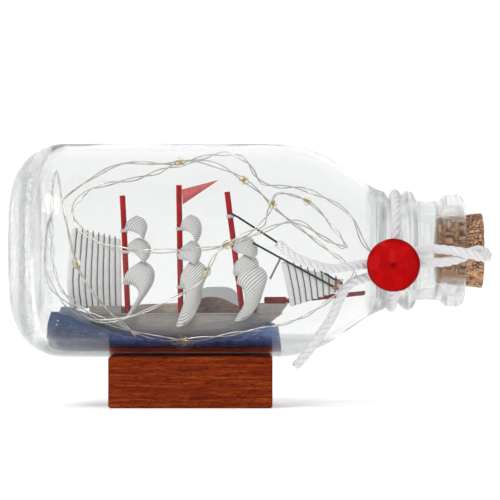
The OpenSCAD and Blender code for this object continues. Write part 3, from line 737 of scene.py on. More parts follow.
LIGHT_ROUTE = [
    (66.8, 0, 0), (62, -0.5, -0.5), (55, -3, -4), (46, -7, 1), (42, -6, 9),
    (30.5, 9, 16.5), (19, 1, 18), (14.5, -5, 23.5), (10, -3, 25.5), (0, -7, 23.5),
    (-5.5, -9, 22.5), (-17.5, -10, 22.5), (-25, -14.5, 19), (-35.5, -18.5, 10.5), (-38, -19, 2),
    (-37, -17, -8.5), (-26.5, -15.5, -17.5), (-20, -15.5, -18), (-8, -18.5, -14), (2.5, -20, -8),
    (8, -21, 0.5), (18.5, -18, 6.5), (21, -13, 11), (23, -4, 15), (33, 10, 12),
    (41, 3, 1), (34.5, -9, 3.5), (27.5, -13, 7.5), (13, -17.5, 2.5), (4.5, -20.5, 0.5),
    (-22.5, -19, 1.5), (-31, -12, 10), (-27, -10.5, 15.5), (-13.5, -7, 19), (3.5, 6, 24),
    (15.5, 8, 18), (23.5, 13, 10.5), (40.5, 7, -3), (43, -3, -6.5), (30, -11, -17),
    (11.5, -11.5, -21.5), (-3.5, -11, -23), (-13.5, -10.5, -21.5), (-28, -8.5, -15.5), (-38, 5, -5),
    (-39, 5, 16.5), (-36.5, -3, 21), (-33.5, -12, 12), (-29, -16, -5), (-22, -14, -15),
    (-14, -13, -22),
]
LIGHTS = [(9, 0.55), (19, 0.3), (22, 0.2), (23, 0.85), (28, 0.4), (34, 0.85), (40, 0.9), (47, 0.9)]
CORD_D = 2.3
BOW_LOOP_ROUTE = [
    (56, -18.8, -2.2), (57.5, -18.6, -0.8), (60.5, -17.9, 0.1), (65, -17.1, 0.3), (72.6, -18, -0.8),
    (75.4, -17.7, -1.7), (77.2, -16, -1.8), (77.6, -14.3, -1), (76.4, -13.1, 0), (74.2, -14, -0.1),
    (71.6, -16, -1.6), (67, -16.8, -2.9), (61.5, -17.6, -3.3), (56.6, -18.6, -4.6),
]
SHORT_TAIL_ROUTE = [
    (48.5, -19.2, -3.4), (45, -20, -3.6), (42, -22, -4), (36.5, -25.6, -4.7), (29.3, -29.2, -2.7),
    (25.9, -29.9, -0.9), (22.8, -30, 1.9),
]
LONG_TAIL_ROUTE = [
    (49.9, -19.1, -6.9), (46, -19.5, -7.1), (41.4, -21.4, -8.8), (38.6, -21.4, -13), (37, -20, -17),
    (34, -17.4, -21.6), (31, -15.8, -26), (27.6, -14, -30.2),
]


def make_light_string(strand, resin, chip):
    """Two fine wires, loosely twisted, with a resin drop over each light."""
    path = smooth_path([at(*p) for p in LIGHT_ROUTE], 0.5 * MM)
    shape = Shape()
    add_strands(shape, path, 2, 0.17 * MM, 0.36 * MM, 17 * MM, sides=6, wander=0.8)
    wires = shape.make("light_string", [strand])
    drops, chips = Shape(), Shape()
    for index, share in LIGHTS:
        a, b = at(*LIGHT_ROUTE[index]), at(*LIGHT_ROUTE[index + 1])
        spot = a.lerp(b, share)
        near = min(range(2, len(path) - 2), key=lambda i: (path[i] - spot).length)
        way = (path[near + 2] - path[near - 2]).normalized()
        half = [-1.5, -1.25, -0.85, -0.35, 0.15, 0.6, 0.95, 1.3, 1.55]
        sizes = [0.32, 0.45, 0.72, 0.95, 1.02, 0.9, 0.66, 0.42, 0.3]
        middle = path[near]
        add_tube(drops, [middle + way * h * MM for h in half], [1.2 * s * MM for s in sizes], 16)
        add_tube(chips, [middle + way * h * MM for h in (-0.36, -0.3, 0.3, 0.36)],
                 [s * MM for s in (0.16, 0.26, 0.26, 0.16)], 6)
    beads = drops.make("light_drops", [resin])
    dots = chips.make("light_chips", [chip])
    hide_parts("light_wire")
    put(beads, ROOT, "light_resin", "led_drops")
    put(dots, ROOT, "light_chip", "led_chips")
    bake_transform(wires)


def make_cotton(cotton):
    """The cord tied round the neck: a wrap, a knot, one loop of a bow and two tails."""
    strand_r, lay_r, pitch = 0.67 * MM, 0.62 * MM, 6.2 * MM
    for name, route, node, end in (("cord_bow_loop", BOW_LOOP_ROUTE, "bow_loop", "knot"),
                                   ("cord_short_tail", SHORT_TAIL_ROUTE, "short_tail", "bare"),
                                   ("cord_long_tail", LONG_TAIL_ROUTE, "long_tail", "bare")):
        path = smooth_path([at(*p) for p in route], 0.35 * MM)
        shape = Shape()
        add_strands(shape, path, 3, strand_r, lay_r, pitch, 10)
        cord = shape.make(name, [cotton])
        put(cord, ROOT, "white_cotton", node)
    low, high = node_box("neck_cord")
    tilt = math.radians(1.7)
    radius = (high.z - low.z - CORD_D) / 2
    centre_x = (low.x + high.x) / 2
    ring = [at(centre_x + radius * math.cos(a) * math.sin(tilt), radius * math.sin(a),
               radius * math.cos(a)) for a in full_turn(260)]
    shape = Shape()
    add_strands(shape, ring, 3, strand_r, lay_r, pitch, 10, closed=True)
    put(shape.make("cord_neck_wrap", [cotton]), ROOT, "white_cotton", "neck_cord")
    low, high = node_box("bow_knot")
    middle = (low + high) / 2
    shape = Shape()
    for lean, offset in ((0.5, -1.1), (-0.55, 1.0)):
        loop = [Vector((middle.x + offset + 1.3 * math.sin(a) * math.sin(lean),
                        middle.y + 1.1 * math.cos(a),
                        middle.z + 1.35 * math.sin(a))) * MM
                for a in full_turn(60)]
        add_strands(shape, loop, 3, strand_r * 0.9, lay_r * 0.9, pitch, 8, closed=True)
    put(shape.make("cord_knot", [cotton]), ROOT, "white_cotton", "bow_knot")


# ---------------------------------------------------------------- bottle

WALL = 1.5
SHOULDER_X, SHOULDER_ARC, SLOPE = 22.5, 28, 34.5
SIDE_X = (-20, -5, 10)


def kick_up(edge, height):
    """The arc of the bottle's raised bottom: its radius, and its angle at the edge."""
    radius = (edge ** 2 + height ** 2) / (2 * height)
    return radius, 90 - math.degrees(math.asin(edge / radius))


def shoulder_centres(wall_r, shoulder_arc, end_x, throat_arc):
    """Centres of the arcs before and after the shoulder's straight slope, which ends at end_x."""
    convex = (wall_r - shoulder_arc, SHOULDER_X)
    sine, cosine = math.sin(math.radians(SLOPE)), math.cos(math.radians(SLOPE))
    start = (convex[0] + shoulder_arc * cosine, convex[1] + shoulder_arc * sine)
    end_r = start[0] - (end_x - start[1]) * sine / cosine
    return convex, (end_r + throat_arc * cosine, end_x + throat_arc * sine)


def outer_profile():
    heel, kick_r, kick_h = 14, 13, 1.5
    slope_end, throat_arc, collar_r, neck_r, lip_r = 45.8, 20, 15.9, 13.15, 14.95
    kick, kick_angle = kick_up(kick_r, kick_h)
    convex, throat = shoulder_centres(BOTTLE_R, SHOULDER_ARC, slope_end, throat_arc)
    return (arc((0, BASE_X + kick_h - kick), kick, 90, kick_angle, 10)
            + arc((BOTTLE_R - heel, BASE_X + heel), heel, -90, 0, 26)
            + [(BOTTLE_R, x) for x in SIDE_X]
            + arc(convex, SHOULDER_ARC, 0, SLOPE, 18)
            + arc(throat, throat_arc, 180 + SLOPE, 197, 10)
            + arc((15.5, 53.6), 1.9, 260, 110, 18)
            + arc((collar_r - 2, 57.4), 2, -50, 50, 14)
            + [(neck_r + 0.35, 59.7), (neck_r + 0.05, 60.5), (neck_r, 61.5), (neck_r, 64.2),
               (neck_r + 0.08, 65.2), (neck_r + 0.5, 66.1)]
            + arc((lip_r - 1.75, 68.2), 1.75, -60, 0, 10)
            + arc((lip_r - 2.2, LIP_X - 2.2), 2.2, 0, 90, 12))


def inner_profile():
    inner_r, inner_arc = BOTTLE_R - WALL, SHOULDER_ARC - WALL
    slope_end, throat_arc, mouth_r, edge = 50.5, 14, 9.35, 1.2
    heel, base_x, kick_h = 9, -41.9, 1.7
    kick_edge = inner_r - heel
    kick, kick_angle = kick_up(kick_edge, kick_h)
    convex, throat = shoulder_centres(inner_r, inner_arc, slope_end, throat_arc)
    return (arc((mouth_r + edge, LIP_X - edge), edge, 90, 180, 8)
            + [(mouth_r, 68), (mouth_r, 64)]
            + arc(throat, throat_arc, 180, 180 + SLOPE, 14)
            + arc(convex, inner_arc, SLOPE, 0, 18)
            + [(inner_r, x) for x in reversed(SIDE_X)]
            + arc((kick_edge, base_x + heel), heel, 0, -90, 20)
            + arc((0, base_x + kick_h - kick), kick, kick_angle, 90, 12)[1:])


def make_bottle():
    look = lit_glass("bottle_glass", (0.925, 0.934, 0.932), 0.0, 1.3, trapped=True)
    ring_from, ring_to = BASE_X + 3.0, BASE_X + 6.2
    along = look.axis_part(part="X")
    zone = look.maths("MULTIPLY", look.past(along, ring_from, end=0.4), look.past(ring_to, along, end=0.4))
    knurl = look.grey(look.cells(1.0), 1, 0, 0.1, 0.5)
    look.bump(look.maths("MULTIPLY", knurl, zone), 1.0, 0.45)
    look.bump(look.noise(0.07, 1), 0.12, 1.2)
    bottle = lathe(outer_profile() + inner_profile(), "bottle", [look.material], 192)
    put(bottle, ROOT, "bottle_glass", "glass_bottle")


# ---------------------------------------------------------------- ship

DECK_Z = -16.6
HULL_HALF = 5.4
MASTS = {"mizzen": ((-18.3, 14.6), (-16.9, DECK_Z)),
         "main": ((-3.3, 17.4), (-2.8, DECK_Z)),
         "fore": ((9.5, 15.6), (13.6, DECK_Z))}
MAST_R = 0.75


def mast_x(mast, z):
    (top_x, top_z), (foot_x, foot_z) = MASTS[mast]
    return foot_x + (top_x - foot_x) * (z - foot_z) / (top_z - foot_z)


def hull_breadth(x):
    if x < -14:
        return HULL_HALF - 0.012 * (x + 14) ** 2
    return HULL_HALF if x < 8 else HULL_HALF * math.sqrt(max(0.004, 1 - ((x - 8) / 16.2) ** 2))


def keel_depth(x):
    return -23.8 + (0.0145 * (x + 8) ** 2 if x < -8 else 0.0275 * max(0, x - 8) ** 2)


def make_hull(paint_look, rail_look):
    """The hull's skin: smooth round bilges, a raking stem, and a pale moulding along the deck."""
    top = DECK_Z - 0.4
    first, last, steps, around = -26.6, 23.6, 70, 18
    rings, along = [], []
    for i in range(steps + 1):
        x = first + (last - first) * (1 - (1 - i / steps) ** 1.25)
        b = hull_breadth(x)
        k = min(keel_depth(x), top - 0.4)
        half = []
        for j in range(around + 1):
            a = math.pi / 2 * j / around
            half.append((b * math.cos(a) ** 0.55, top - (top - k) * math.sin(a) ** 0.9))
        ring = half + [(-y, z) for y, z in reversed(half[:-1])]
        rings.append([at(x, y, z) for y, z in ring])
        along.append(x)
    shape = Shape()
    shape.rings(rings, along)
    hull = shape.make("hull_skin", [paint_look])
    mark_sharp(hull)
    put(hull, ROOT, "hull_paint", "ship_hull")
    shape = Shape()
    for side in (-1, 1):
        path = [at(x, side * (hull_breadth(x) + 0.02), DECK_Z - 0.2)
                for x in (first + 0.2 + (23.9 - first) * i / 80 for i in range(81))]
        add_tube(shape, path, 0.2 * MM, 6)
    put(shape.make("hull_moulding", [rail_look]), ROOT, "hull_paint")


def mark_sharp(piece, angle=0.7):
    with edited(piece) as build:
        for edge in build.edges:
            edge.smooth = len(edge.link_faces) != 2 or edge.calc_face_angle(0) < angle


# Each sail from the side: its near edge, then its outermost line, from the head to the foot (X, Z),
# then how far it reaches across the ship at its head and foot.
SAILS = {
    "mizzen_top": ([(-17.5, 5.6), (-15.3, 5.1), (-13.7, 4.4), (-12.9, 3.1)],
        [(-14.5, 9.2), (-12.6, 8.2), (-11.8, 6.5), (-12.2, 4.7), (-12.8, 2.9)]),
    "mizzen_middle": ([(-16.9, 0.4), (-15.0, -0.5), (-13.7, -1.7), (-12.6, -3.1)],
        [(-14.1, 3.2), (-12.1, 2.5), (-10.9, 0.8), (-11.1, -1.2), (-12.5, -3.2)]),
    "mizzen_lower": ([(-17.9, -8.9), (-15.5, -9.0), (-13.9, -10.4), (-13.8, -12.1), (-15.3, -14.8),
        (-17.3, -18.1)],
        [(-13.1, -2.9), (-11.0, -3.9), (-9.9, -6.0), (-10.3, -8.6), (-11.9, -11.3), (-13.4, -13.2)]),
    "main_top": ([(-2.8, 5.9), (-1.2, 5.3), (0.3, 4.5), (1.1, 2.3)],
        [(-0.1, 9.4), (1.8, 8.4), (2.6, 6.3), (2.4, 4.1), (1.4, 2.1)]),
    "main_middle": ([(-3.3, -2.0), (-1.7, -2.5), (-0.4, -2.7), (0.7, -3.5)],
        [(0.0, 2.5), (1.6, 1.9), (2.5, 0.1), (2.3, -1.7), (1.4, -3.6)]),
    "main_lower": ([(-2.9, -9.4), (-1.7, -10.0), (-1.4, -11.6), (-1.8, -14.0), (-2.6, -16.4), (-3.8, -19.9)],
        [(0.4, -2.5), (2.8, -3.5), (4.3, -5.7), (3.2, -8.9), (2.6, -11.6), (2.4, -13.4)]),
    "fore_top": ([(11.1, 0.4), (12.4, -0.5), (13.7, -0.7), (15.6, -1.5)],
        [(14.5, 3.9), (16.1, 3.1), (17.3, 1.2), (17.5, -0.7), (16.7, -2.0)]),
    "fore_middle": ([(11.2, -6.0), (12.9, -6.8), (14.5, -7.2), (15.6, -7.8)],
        [(14.8, -0.8), (16.8, -1.7), (17.8, -3.6), (17.3, -5.7), (15.9, -7.6)]),
    "fore_lower": ([(12.1, -8.6), (13.7, -9.8), (14.4, -12.4), (13.9, -14.8), (12.8, -16.6), (11.6, -18.5)],
        [(16.7, -4.1), (18.8, -4.8), (20.1, -6.8), (19.5, -9.4), (18.8, -11.6), (18.4, -12.9)]),
}
SAIL_REACH = {"top": (2.6, 3.4), "middle": (3.4, 4.0), "lower": (4.0, 7.2)}
# The two ends (X, Z) of each row of points across a flat sail, from the head to the foot.
SPANKER_ROWS = (((-31.9, 5.9), (-18.8, 2.8)), ((-33.15, -7.85), (-18.6, -7.85)),
                ((-32.35, -15.6), (-18.5, -14.9)))
JIB_ROWS = (((23.7, -2.6), (40.2, -8.0)), ((25.2, -9.2), (39.9, -9.4)), ((26.2, -15.0), (39.6, -10.7)))
ROW_POINTS = 10
FOOT_CURVE = {"mizzen_lower": 1.2, "main_lower": 2.5, "fore_lower": 2.3}
RIB_PITCH = 0.6


def along_curve(points, t):
    """A point on a smooth curve through evenly timed points, for t from 0 to 1."""
    place = min(len(points) - 1.000001, max(0.0, t * (len(points) - 1)))
    i, f = int(place), place - int(place)
    p = [points[max(0, min(len(points) - 1, i + k))] for k in (-1, 0, 1, 2)]
    weights = ((-f + 2 * f * f - f ** 3) / 2, (2 - 5 * f * f + 3 * f ** 3) / 2,
               (f + 4 * f * f - 3 * f ** 3) / 2, (f ** 3 - f * f) / 2)
    return [sum(w * q[k] for w, q in zip(weights, p)) for k in range(len(p[0]))]


def sail_point(name, t, angle):
    """A place on a sail: t runs from head to foot, and angle from one side edge to the other."""
    edge, crest = SAILS[name]
    (edge_x, edge_z), (crest_x, crest_z) = along_curve(edge, t), along_curve(crest, t)
    reach = SAIL_REACH[name.split("_")[1]]
    a = math.radians(angle)
    bulge = max(0.0, math.cos(a))
    lift = 0.42 + (FOOT_CURVE.get(name, 1.0) - 0.42) * t ** 1.5
    flank = 1 - 0.45 * t if name in FOOT_CURVE else 1
    across = signed_power(math.sin(a), flank)
    return at(edge_x + (crest_x - edge_x) * bulge, (reach[0] + (reach[1] - reach[0]) * t) * across,
              edge_z + (crest_z - edge_z) * bulge ** lift)


def add_sail(shape, name):
    """A stiff curved sail of fine ribs, with a thread along its edges. Gives its arc, height and area."""
    crest = [at(x, 0, z) for x, z in (along_curve(SAILS[name][1], k / 20) for k in range(21))]
    ribs = max(6, round(path_length(crest) / (RIB_PITCH * MM)))
    levels, columns, depth, thick = ribs * 4, 36, 0.08 * MM, 0.2 * MM
    middle = [[sail_point(name, i / levels, 90 * signed_power(2 * j / columns - 1, 0.8))
               for j in range(columns + 1)] for i in range(levels + 1)]
    normals = []
    for i in range(levels + 1):
        lean = []
        for j in range(columns + 1):
            across = middle[i][min(columns, j + 1)] - middle[i][max(0, j - 1)]
            down = middle[min(levels, i + 1)][j] - middle[max(0, i - 1)][j]
            lean.append(across.cross(down).normalized())
        normals.append(lean)
    rings, along = [], []
    for i in range(levels + 1):
        ripple = depth * (1 - math.cos(2 * math.pi * ribs * i / levels)) / 2
        outer = [p - n * (thick / 2 + depth - ripple) for p, n in zip(middle[i], normals[i])]
        inner = [p + n * (thick / 2 - ripple * 0.5) for p, n in zip(middle[i], normals[i])]
        rings.append(outer + inner[::-1])
        along.append(i * ribs / levels)
    shape.rings(rings, along)
    edge = [(i, 0) for i in range(0, levels, 2)] + [(levels, j) for j in range(0, columns, 2)]
    edge += [(i, columns) for i in range(levels, -1, -2)] + [(0, j) for j in range(columns - 2, 0, -2)]
    add_tube(shape, [middle[i][j] for i, j in edge], 0.2 * MM, 6, closed=True, slot=1)
    area = sum((middle[i + 1][j] - middle[i][j]).cross(middle[i][j + 1] - middle[i][j]).length
               for i in range(levels) for j in range(columns))
    arc_width = path_length(middle[levels // 2])
    return arc_width, area / arc_width, area


def make_suit(mast, cloth, rim):
    """The three sails of one mast, cut one after another from a strip."""
    names = [name for name in SAILS if name.startswith(mast)]
    shape = Shape()
    sizes = [add_sail(shape, name) for name in names]
    suit = shape.make(mast + "_sails", [cloth, rim])
    put(suit, ROOT, "sail_cloth", *[name + "_sail" for name in names])


def make_ribbed_panel(name, node, rows, y, cloth, seam):
    """A flat sail of upright bands with a dark cord between each two. Each row of points crosses it."""
    shape = Shape()
    draw = random.Random(name)
    count, area = 18, 0.0
    lines = [[along_curve(line, k / count) for k in range(count + 1)] for line in zip(*rows)]
    for left, right in zip(lines, lines[1:]):
        rings, path = [], []
        rise = draw.uniform(-0.2, 0.25)
        for k in range(count + 1):
            x, z = (left[k][0] + right[k][0]) / 2, (left[k][1] + right[k][1]) / 2
            z += rise * (1 - k / count)
            half = (right[k][0] - left[k][0]) / 2 * (0.8 if k in (0, count) else 0.97)
            path.append(at(x, y, z))
            rings.append([at(x + half * signed_power(math.cos(a), 0.7),
                             y + 0.24 * math.sin(a), z)
                          for a in full_turn(12)])
        shape.rings(rings, [k * 0.8 for k in range(count + 1)])
        area += path_length(path) * (right[count // 2][0] - left[count // 2][0]) * MM
    for line in lines[1:-1]:
        cord = [at(x + 0.03 * math.sin(1.9 * k), y - 0.2, z) for k, (x, z) in enumerate(line)]
        cord.insert(0, cord[0] + (cord[0] - cord[1]).normalized() * 0.7 * MM)
        add_tube(shape, cord, 0.15 * MM, 6, slot=1)
    panel = shape.make(name, [cloth, seam])
    put(panel, ROOT, "sail_cloth", node)


def row_of(left, right):
    last = ROW_POINTS - 1
    return [tuple(a + (b - a) * i / last for a, b in zip(left, right)) for i in range(ROW_POINTS)]


def make_ties(mast, heights, thread):
    """Thread wound a few times round a mast, with a knot and two short ends."""
    shape = Shape()
    draw = random.Random(mast)
    for z in heights:
        turns, radius = 3.2, MAST_R + 0.17
        path = []
        for k in range(73):
            a = 2 * math.pi * turns * k / 72
            rise = (k / 72 - 0.5) * 0.75 + 0.06 * math.sin(3 * a)
            path.append(at(mast_x(mast, z + rise) + radius * math.cos(a), radius * math.sin(a), z + rise))
        add_tube(shape, path, 0.15 * MM, 6)
        knot_x = mast_x(mast, z) + 0.35
        knot = [at(knot_x + 0.22 * math.cos(a), -radius - 0.1 + 0.1 * math.sin(a), z + 0.22 * math.sin(a))
                for a in full_turn(16)]
        add_tube(shape, knot, 0.14 * MM, 6, closed=True)
        for way in (-1, 1):
            reach = draw.uniform(0.5, 0.9)
            end = smooth_path([at(knot_x, -radius - 0.1, z),
                               at(knot_x + 0.3 * way, -radius - 0.25, z - 0.25 * reach),
                               at(knot_x + 0.55 * way * reach, -radius - 0.2, z - 0.7 * reach)], 0.12 * MM)
            add_tube(shape, end, 0.09 * MM, 6)
    put(shape.make(mast + "_thread", [thread]), ROOT, "white_thread", mast + "_ties")


def make_lashings(thread):
    """Orange thread wound round the lower end of each stay."""
    shape = Shape()
    turns, radius, length, steps = 4, 0.42, 1.0, 60
    for x0, z0, slope in ((38.9, -8.25, -0.646), (38.1, -9.8, -0.545)):
        along = Vector((1, 0, slope)).normalized()
        over = Vector((-slope, 0, 1)).normalized()
        path = []
        for k in range(steps + 1):
            a = 2 * math.pi * turns * k / steps
            spot = Vector((x0, -1.9, z0)) + along * (k / steps - 0.5) * length
            path.append(at(*(spot + radius * (math.cos(a) * Vector((0, 1, 0)) + math.sin(a) * over))))
        add_tube(shape, path, 0.13 * MM, 6)
    put(shape.make("stay_lashings", [thread]), ROOT, "white_thread")


def make_pennant(cloth):
    """A waved pointed flag."""
    luff_x = mast_x("main", 14) + MAST_R + 0.1
    top, bottom, tip = (luff_x - 0.1, 16.2), (luff_x + 0.1, 12.3), (7.1, 18.7)
    shape = Shape()
    rings, along = [], []
    for i in range(31):
        s = i / 30
        high, low = (tuple(p + (q - p) * s for p, q in zip(start, tip)) for start in (top, bottom))
        wave = 0.35 * math.sin(5.0 * s) * s
        ring = [at(high[0], wave - 0.09, high[1] + 0.05), at(high[0], wave + 0.09, high[1] + 0.05),
                at(low[0], wave + 0.09, low[1] - 0.05), at(low[0], wave - 0.09, low[1] - 0.05)]
        rings.append(ring)
        along.append(i * 0.3)
    shape.rings(rings, along)
    put(shape.make("pennant_card", [cloth]), ROOT, "pennant_cloth", "pennant")


def swell(x, place, width):
    return math.exp(-((x - place) / width) ** 2)


def make_putty(material):
    """Putty pressed onto the glass: thumbed along its near edge, smeared up the far wall."""
    start, end, end_round, rim, gap = -37.4, 23.8, 3, 0.3, 0.05
    inner_r, heel, heel_x = BOTTLE_R - WALL, 9, -32.9
    steps, side_steps = 120, 16
    rings = []
    for i in range(steps + 1):
        x = start + (end - start) * i / steps
        bed = (inner_r if x > heel_x else inner_r - heel + math.sqrt(heel ** 2 - (heel_x - x) ** 2)) - gap
        e = max(0.0, min(1.0, min(x - start, end - x) / end_round))
        full = math.sqrt(max(0.0, 1 - (1 - e) ** 2))
        stern, bow = swell(x, -38, 14.5), swell(x, 21, 6)
        smear = math.exp(-((x - 6.5) / 8.5) ** 4)
        middle = -22.8 + 7.2 * stern + 3.4 * swell(x, 21, 7)
        near = (-23.2 + 7.7 * stern + 2.7 * bow - 2.4 * swell(x, -2, 3)
                + 0.5 * noise.noise(Vector((x * 0.35, 0, 3))))
        far = -22.5 + 7.2 * stern + 2.6 * bow + 12.3 * smear
        spans = [math.acos(-edge / bed) * (0.6 + 0.4 * full) for edge in (near, far)]
        angles = [-spans[0] * j / side_steps for j in range(side_steps, 0, -1)]
        angles += [spans[1] * j / side_steps for j in range(side_steps + 1)]
        ring = []
        for a in angles:
            edge, power = (near, 2.2) if a < 0 else (far, 4)
            t = abs(a) / spans[0 if a < 0 else 1]
            z = middle + (edge - middle) * t ** power
            z += 0.35 * noise.noise(Vector((x * 0.5, a * 9, 0))) * (1 - t ** 4)
            radius = bed - rim - (bed - rim - min(bed - rim, -z / math.cos(a))) * full
            ring.append(at(x, radius * math.sin(a), -radius * math.cos(a)))
        ring += [at(x, bed * math.sin(a), -bed * math.cos(a)) for a in reversed(angles)]
        rings.append(ring)
    shape = Shape()
    shape.rings(rings, list(range(steps + 1)))
    sea = shape.make("putty_sea", [material])
    mark_sharp(sea, 1.1)
    put(sea, ROOT, "blue_putty", "sea_putty")


def make_cabin(material):
    """The long low cabin on the far side of the deck, with its roof rising behind the main mast."""
    roof = [(-18.3, -14.9), (-15.5, -14.7), (-12.6, -14.4), (-8, -14.2), (-3, -14.0), (1.2, -13.6),
            (3.2, -12.6), (5.5, -12.4), (8.2, -12.8), (11.2, -14.2), (13.6, -15.2), (15.6, -15.1),
            (17.4, -14.5)]
    shape = Shape()
    rings = []
    steps = 60
    for i in range(steps + 1):
        x = roof[0][0] + (roof[-1][0] - roof[0][0]) * i / steps
        k = max(j for j in range(len(roof) - 1) if roof[j][0] <= x + 1e-9)
        f = (x - roof[k][0]) / (roof[k + 1][0] - roof[k][0])
        near = roof[max(0, k - 1):k + 3]
        top = along_curve(near, (min(1, k) + f) / (len(near) - 1))[1]
        if i in (0, steps):
            top -= 0.15
        ring = [(1.4, DECK_Z), (1.4, top - 0.25), (1.65, top), (4.35, top), (4.6, top - 0.25), (4.6, DECK_Z)]
        rings.append([at(x, yy, zz) for yy, zz in ring])
    shape.rings(rings, list(range(steps + 1)))
    cabin = shape.make("cabin_wood", [material])
    mark_sharp(cabin, 0.6)
    put(cabin, ROOT, "cabin_paint", "deck_cabin")


def make_ship(looks):
    make_hull(looks["hull"], looks["pale"])
    make_cabin(looks["cabin"])
    for node, colour, bevel in (("deck", "deck", 0.1), ("poop_block", "hull", 0.18),
                                ("forecastle", "hull", 0.18), ("bow_rail", "red", 0.18),
                                ("bowsprit", "red", 0.18)):
        put(copy_node(node, node + "_wood", looks[colour], bevel), ROOT, colour + "_paint", node)
    for mast in MASTS:
        paint(mast + "_mast", looks["crimson"])
    for node in ("fore_stay", "jib_stay", "stay_knots"):
        paint(node, looks["black"])
    paint("jib_guy", looks["grey_thread"])
    for mast in MASTS:
        make_suit(mast, looks["sail"], looks["thread"])
    for name, node, ends, y, rests_on in (("spanker_ribs", "spanker_sail", SPANKER_ROWS, 0, "mizzen_mast"),
                                          ("jib_ribs", "jib_sail", JIB_ROWS, -1.1, "jib_guy")):
        rows = [row_of(left, right) for left, right in ends]
        make_ribbed_panel(name, node, rows, y, looks["panel"], looks["seam"])
    make_ties("mizzen", (5.2, -0.4, -8.6), looks["thread"])
    make_ties("main", (5.7, -1.2, -9.8), looks["thread"])
    make_ties("fore", (9.1, -6.5), looks["thread"])
    make_lashings(looks["orange"])
    make_pennant(looks["pennant"])


# ---------------------------------------------------------------- seal, stopper and stand

def make_seal(material):
    """A cast disc with a rolled rim and a slightly uneven face."""
    low, high = node_box("seal_disc")
    centre, r, thick = (low + high) / 2, (high.x - low.x) / 2, high.y - low.y
    profile = [(0, 0), (r * 0.5, 0), (r - 0.6, 0), (r - 0.15, 0.15), (r, 0.6), (r, thick - 0.9),
               (r - 0.12, thick - 0.45), (r - 0.45, thick - 0.12), (r - 0.95, thick), (r - 1.4, thick - 0.05),
               (r - 2.0, thick - 0.16), (r * 0.5, thick - 0.22), (r * 0.2, thick - 0.2), (0, thick - 0.3)]
    steps = 96
    shape = Shape()
    columns = []
    for a in full_turn(steps):
        wavy = 1 + 0.004 * math.sin(5 * a + 1) + 0.003 * math.sin(9 * a)
        columns.append([Vector((centre.x + rr * wavy * math.cos(a), high.y - h,
                                centre.z + rr * wavy * math.sin(a))) * MM for rr, h in profile])
    shape.rings(columns, list(range(steps)), closed=True)
    seal = shape.make("seal_cast", [material])
    weld(seal)
    put(seal, ROOT, "red_resin", "seal_disc")


def make_cork(material):
    """The cork, with crumbled edges and pits where granules have fallen out."""
    low, high = node_box("cork")
    x0, x1 = low.x, high.x
    hole, pocket, pocket_x = 0.6, 6.9, high.x - 6.9
    seat_r, seat_x, mouth_x = 8.95, x0 + 0.45, LIP_X - 1.2
    profile = ([(hole, x0), (4, x0), (8.5, x0), (8.8, x0 + 0.12), (seat_r, seat_x)]
               + [(seat_r + (9.3 - seat_r) * i / 14, seat_x + (mouth_x - seat_x) * i / 14)
                  for i in range(1, 15)]
               + [(9.31 + (9.95 - 9.31) * i / 18, mouth_x + (x1 - 0.4 - mouth_x) * i / 18)
                  for i in range(1, 19)]
               + [(9.8, x1 - 0.12), (9.5, x1), (8.6, x1), (7.7, x1), (pocket, x1), (pocket, pocket_x),
                  (4, pocket_x), (hole, pocket_x)])
    cork = lathe(profile, "cork_body", [material], 150)
    with edited(cork) as build:
        build.normal_update()
        for vert in build.verts:
            place = vert.co / MM
            radius = math.hypot(place.y, place.z - AXIS)
            if radius < pocket + 0.3:
                continue
            coarse = max(0.0, noise.noise(place * 0.9) - 0.12) * 0.9
            fine = max(0.0, noise.noise(place * 2.3) - 0.2) * 0.35
            seat = 0.25 if place.x < LIP_X - 0.8 else 1.0
            vert.co -= vert.normal * (coarse + fine) * seat * 0.75 * MM
    put(cork, STOPPER, "cork_grain", "cork")


def make_stand(material):
    stand = copy_node("wood_stand", "stand_block", material, 0.35, 3)
    put(stand, ROOT, "stand_wood", "wood_stand")


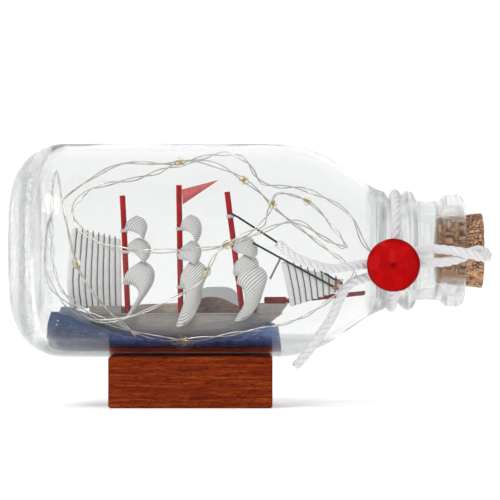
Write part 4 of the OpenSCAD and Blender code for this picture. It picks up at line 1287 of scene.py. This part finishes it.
def make_looks():
    return {
        "hull": hull_look(),
        "pale": painted_look("moulding_paint", (0.40, 0.36, 0.31), (0.55, 0.50, 0.44), 0.6),
        "deck": painted_look("deck_paint", (0.26, 0.20, 0.16), (0.40, 0.32, 0.26), 0.65),
        "cabin": cabin_look(),
        "red": painted_look("red_paint", (0.19, 0.018, 0.018), (0.30, 0.02, 0.022), 0.55, 2.5),
        "crimson": painted_look("mast_paint", (0.34, 0.001, 0.002), (0.58, 0.002, 0.004), 0.55, 1.2, 0.5,
                                (1, 1, 0.7)),
        "pennant": painted_look("pennant_dye", (0.68, 0.11, 0.12), (0.82, 0.21, 0.22), 0.8, 4.0),
        "sail": sail_look(),
        "panel": painted_look("panel_cloth", (0.86, 0.84, 0.83), (0.97, 0.95, 0.94), 0.8, 3.0, 0.4,
                              (1, 1, 0.4)),
        "seam": thread_look("seam_cord", (0.03, 0.03, 0.035), (0.26, 0.25, 0.26), 0.5),
        "black": thread_look("black_cord", (0.004, 0.004, 0.005), (0.02, 0.02, 0.022), 0.6),
        "grey_thread": thread_look("grey_thread", (0.22, 0.22, 0.21), (0.55, 0.55, 0.53), 0.6),
        "thread": thread_look("white_thread", (0.55, 0.55, 0.54), (0.85, 0.85, 0.84), 0.6),
        "orange": thread_look("orange_thread", (0.45, 0.16, 0.05), (0.65, 0.30, 0.12), 0.6),
        "cotton": thread_look("white_cotton", (0.52, 0.51, 0.54), (0.93, 0.92, 0.94), 0.8),
        "wire": wire_look(),
        "resin": resin_look(),
        "chip": moulded_look("light_chip", (0.85, 0.42, 0.06), 0.35),
    }


def wire_look():
    look = Look("silver_wire", (0.5, 0.48, 0.4), 0.3, Metallic=0.6)
    tarnish = look.noise(0.5, 3)
    look.colour(look.ramp(tarnish, [(0.35, (0.55, 0.53, 0.44)), (0.6, (0.78, 0.77, 0.73))]))
    return look.bump(look.noise(8, 2), 0.2, 0.02).material


def resin_look():
    look = lit_glass("drop_resin", (0.93, 0.89, 0.68), 0.05, 1.35)
    look.bump(look.noise(1.5, 2), 0.2, 0.1)
    return look.material


def make_inner_stopper():
    """What shows of the power pack in the cork's end, and what lies behind it."""
    paint("battery_cup", moulded_look("cup_plastic", (0.78, 0.78, 0.77), 0.45))
    paint("inner_contact", metal_look("plated_contact", (0.78, 0.62, 0.30), 0.3))
    paint("contact_spring", metal_look("spring_plating", (0.78, 0.64, 0.34), 0.28))
    paint("coin_cells", metal_look("cell_steel", (0.62, 0.62, 0.63), 0.25))
    paint("circuit_board", moulded_look("board_green", (0.02, 0.16, 0.06), 0.35))
    paint("end_cap", moulded_look("cap_plastic", (0.30, 0.20, 0.13), 0.5))
    paint("switch_slider", moulded_look("slider_plastic", (0.75, 0.75, 0.73), 0.4))
    paint("stand_glue", moulded_look("amber_glue", (0.20, 0.035, 0.014), 0.3))
    paint("seal_glue", moulded_look("clear_glue", (0.80, 0.80, 0.77), 0.2))


def main():
    scene = bpy.context.scene
    scene.view_settings.view_transform = "Standard"
    add_camera()
    looks = make_looks()
    make_light_string(looks["wire"], looks["resin"], looks["chip"])
    make_cotton(looks["cotton"])
    add_world()
    add_stage()
    add_area("key", (-0.35, -0.45, 0.65), (0.01, 0, 0.04), (0.3, 0.3), 3.0)
    add_area("wall_wash", (0.0, 0.7, 0.9), (0.0, 1.8, 0.35), (1.6, 0.3), 0.8)
    make_bottle()
    make_putty(putty_look())
    make_ship(looks)
    make_seal(seal_look())
    make_cork(cork_look())
    make_inner_stopper()
    make_stand(wood_look())


main()
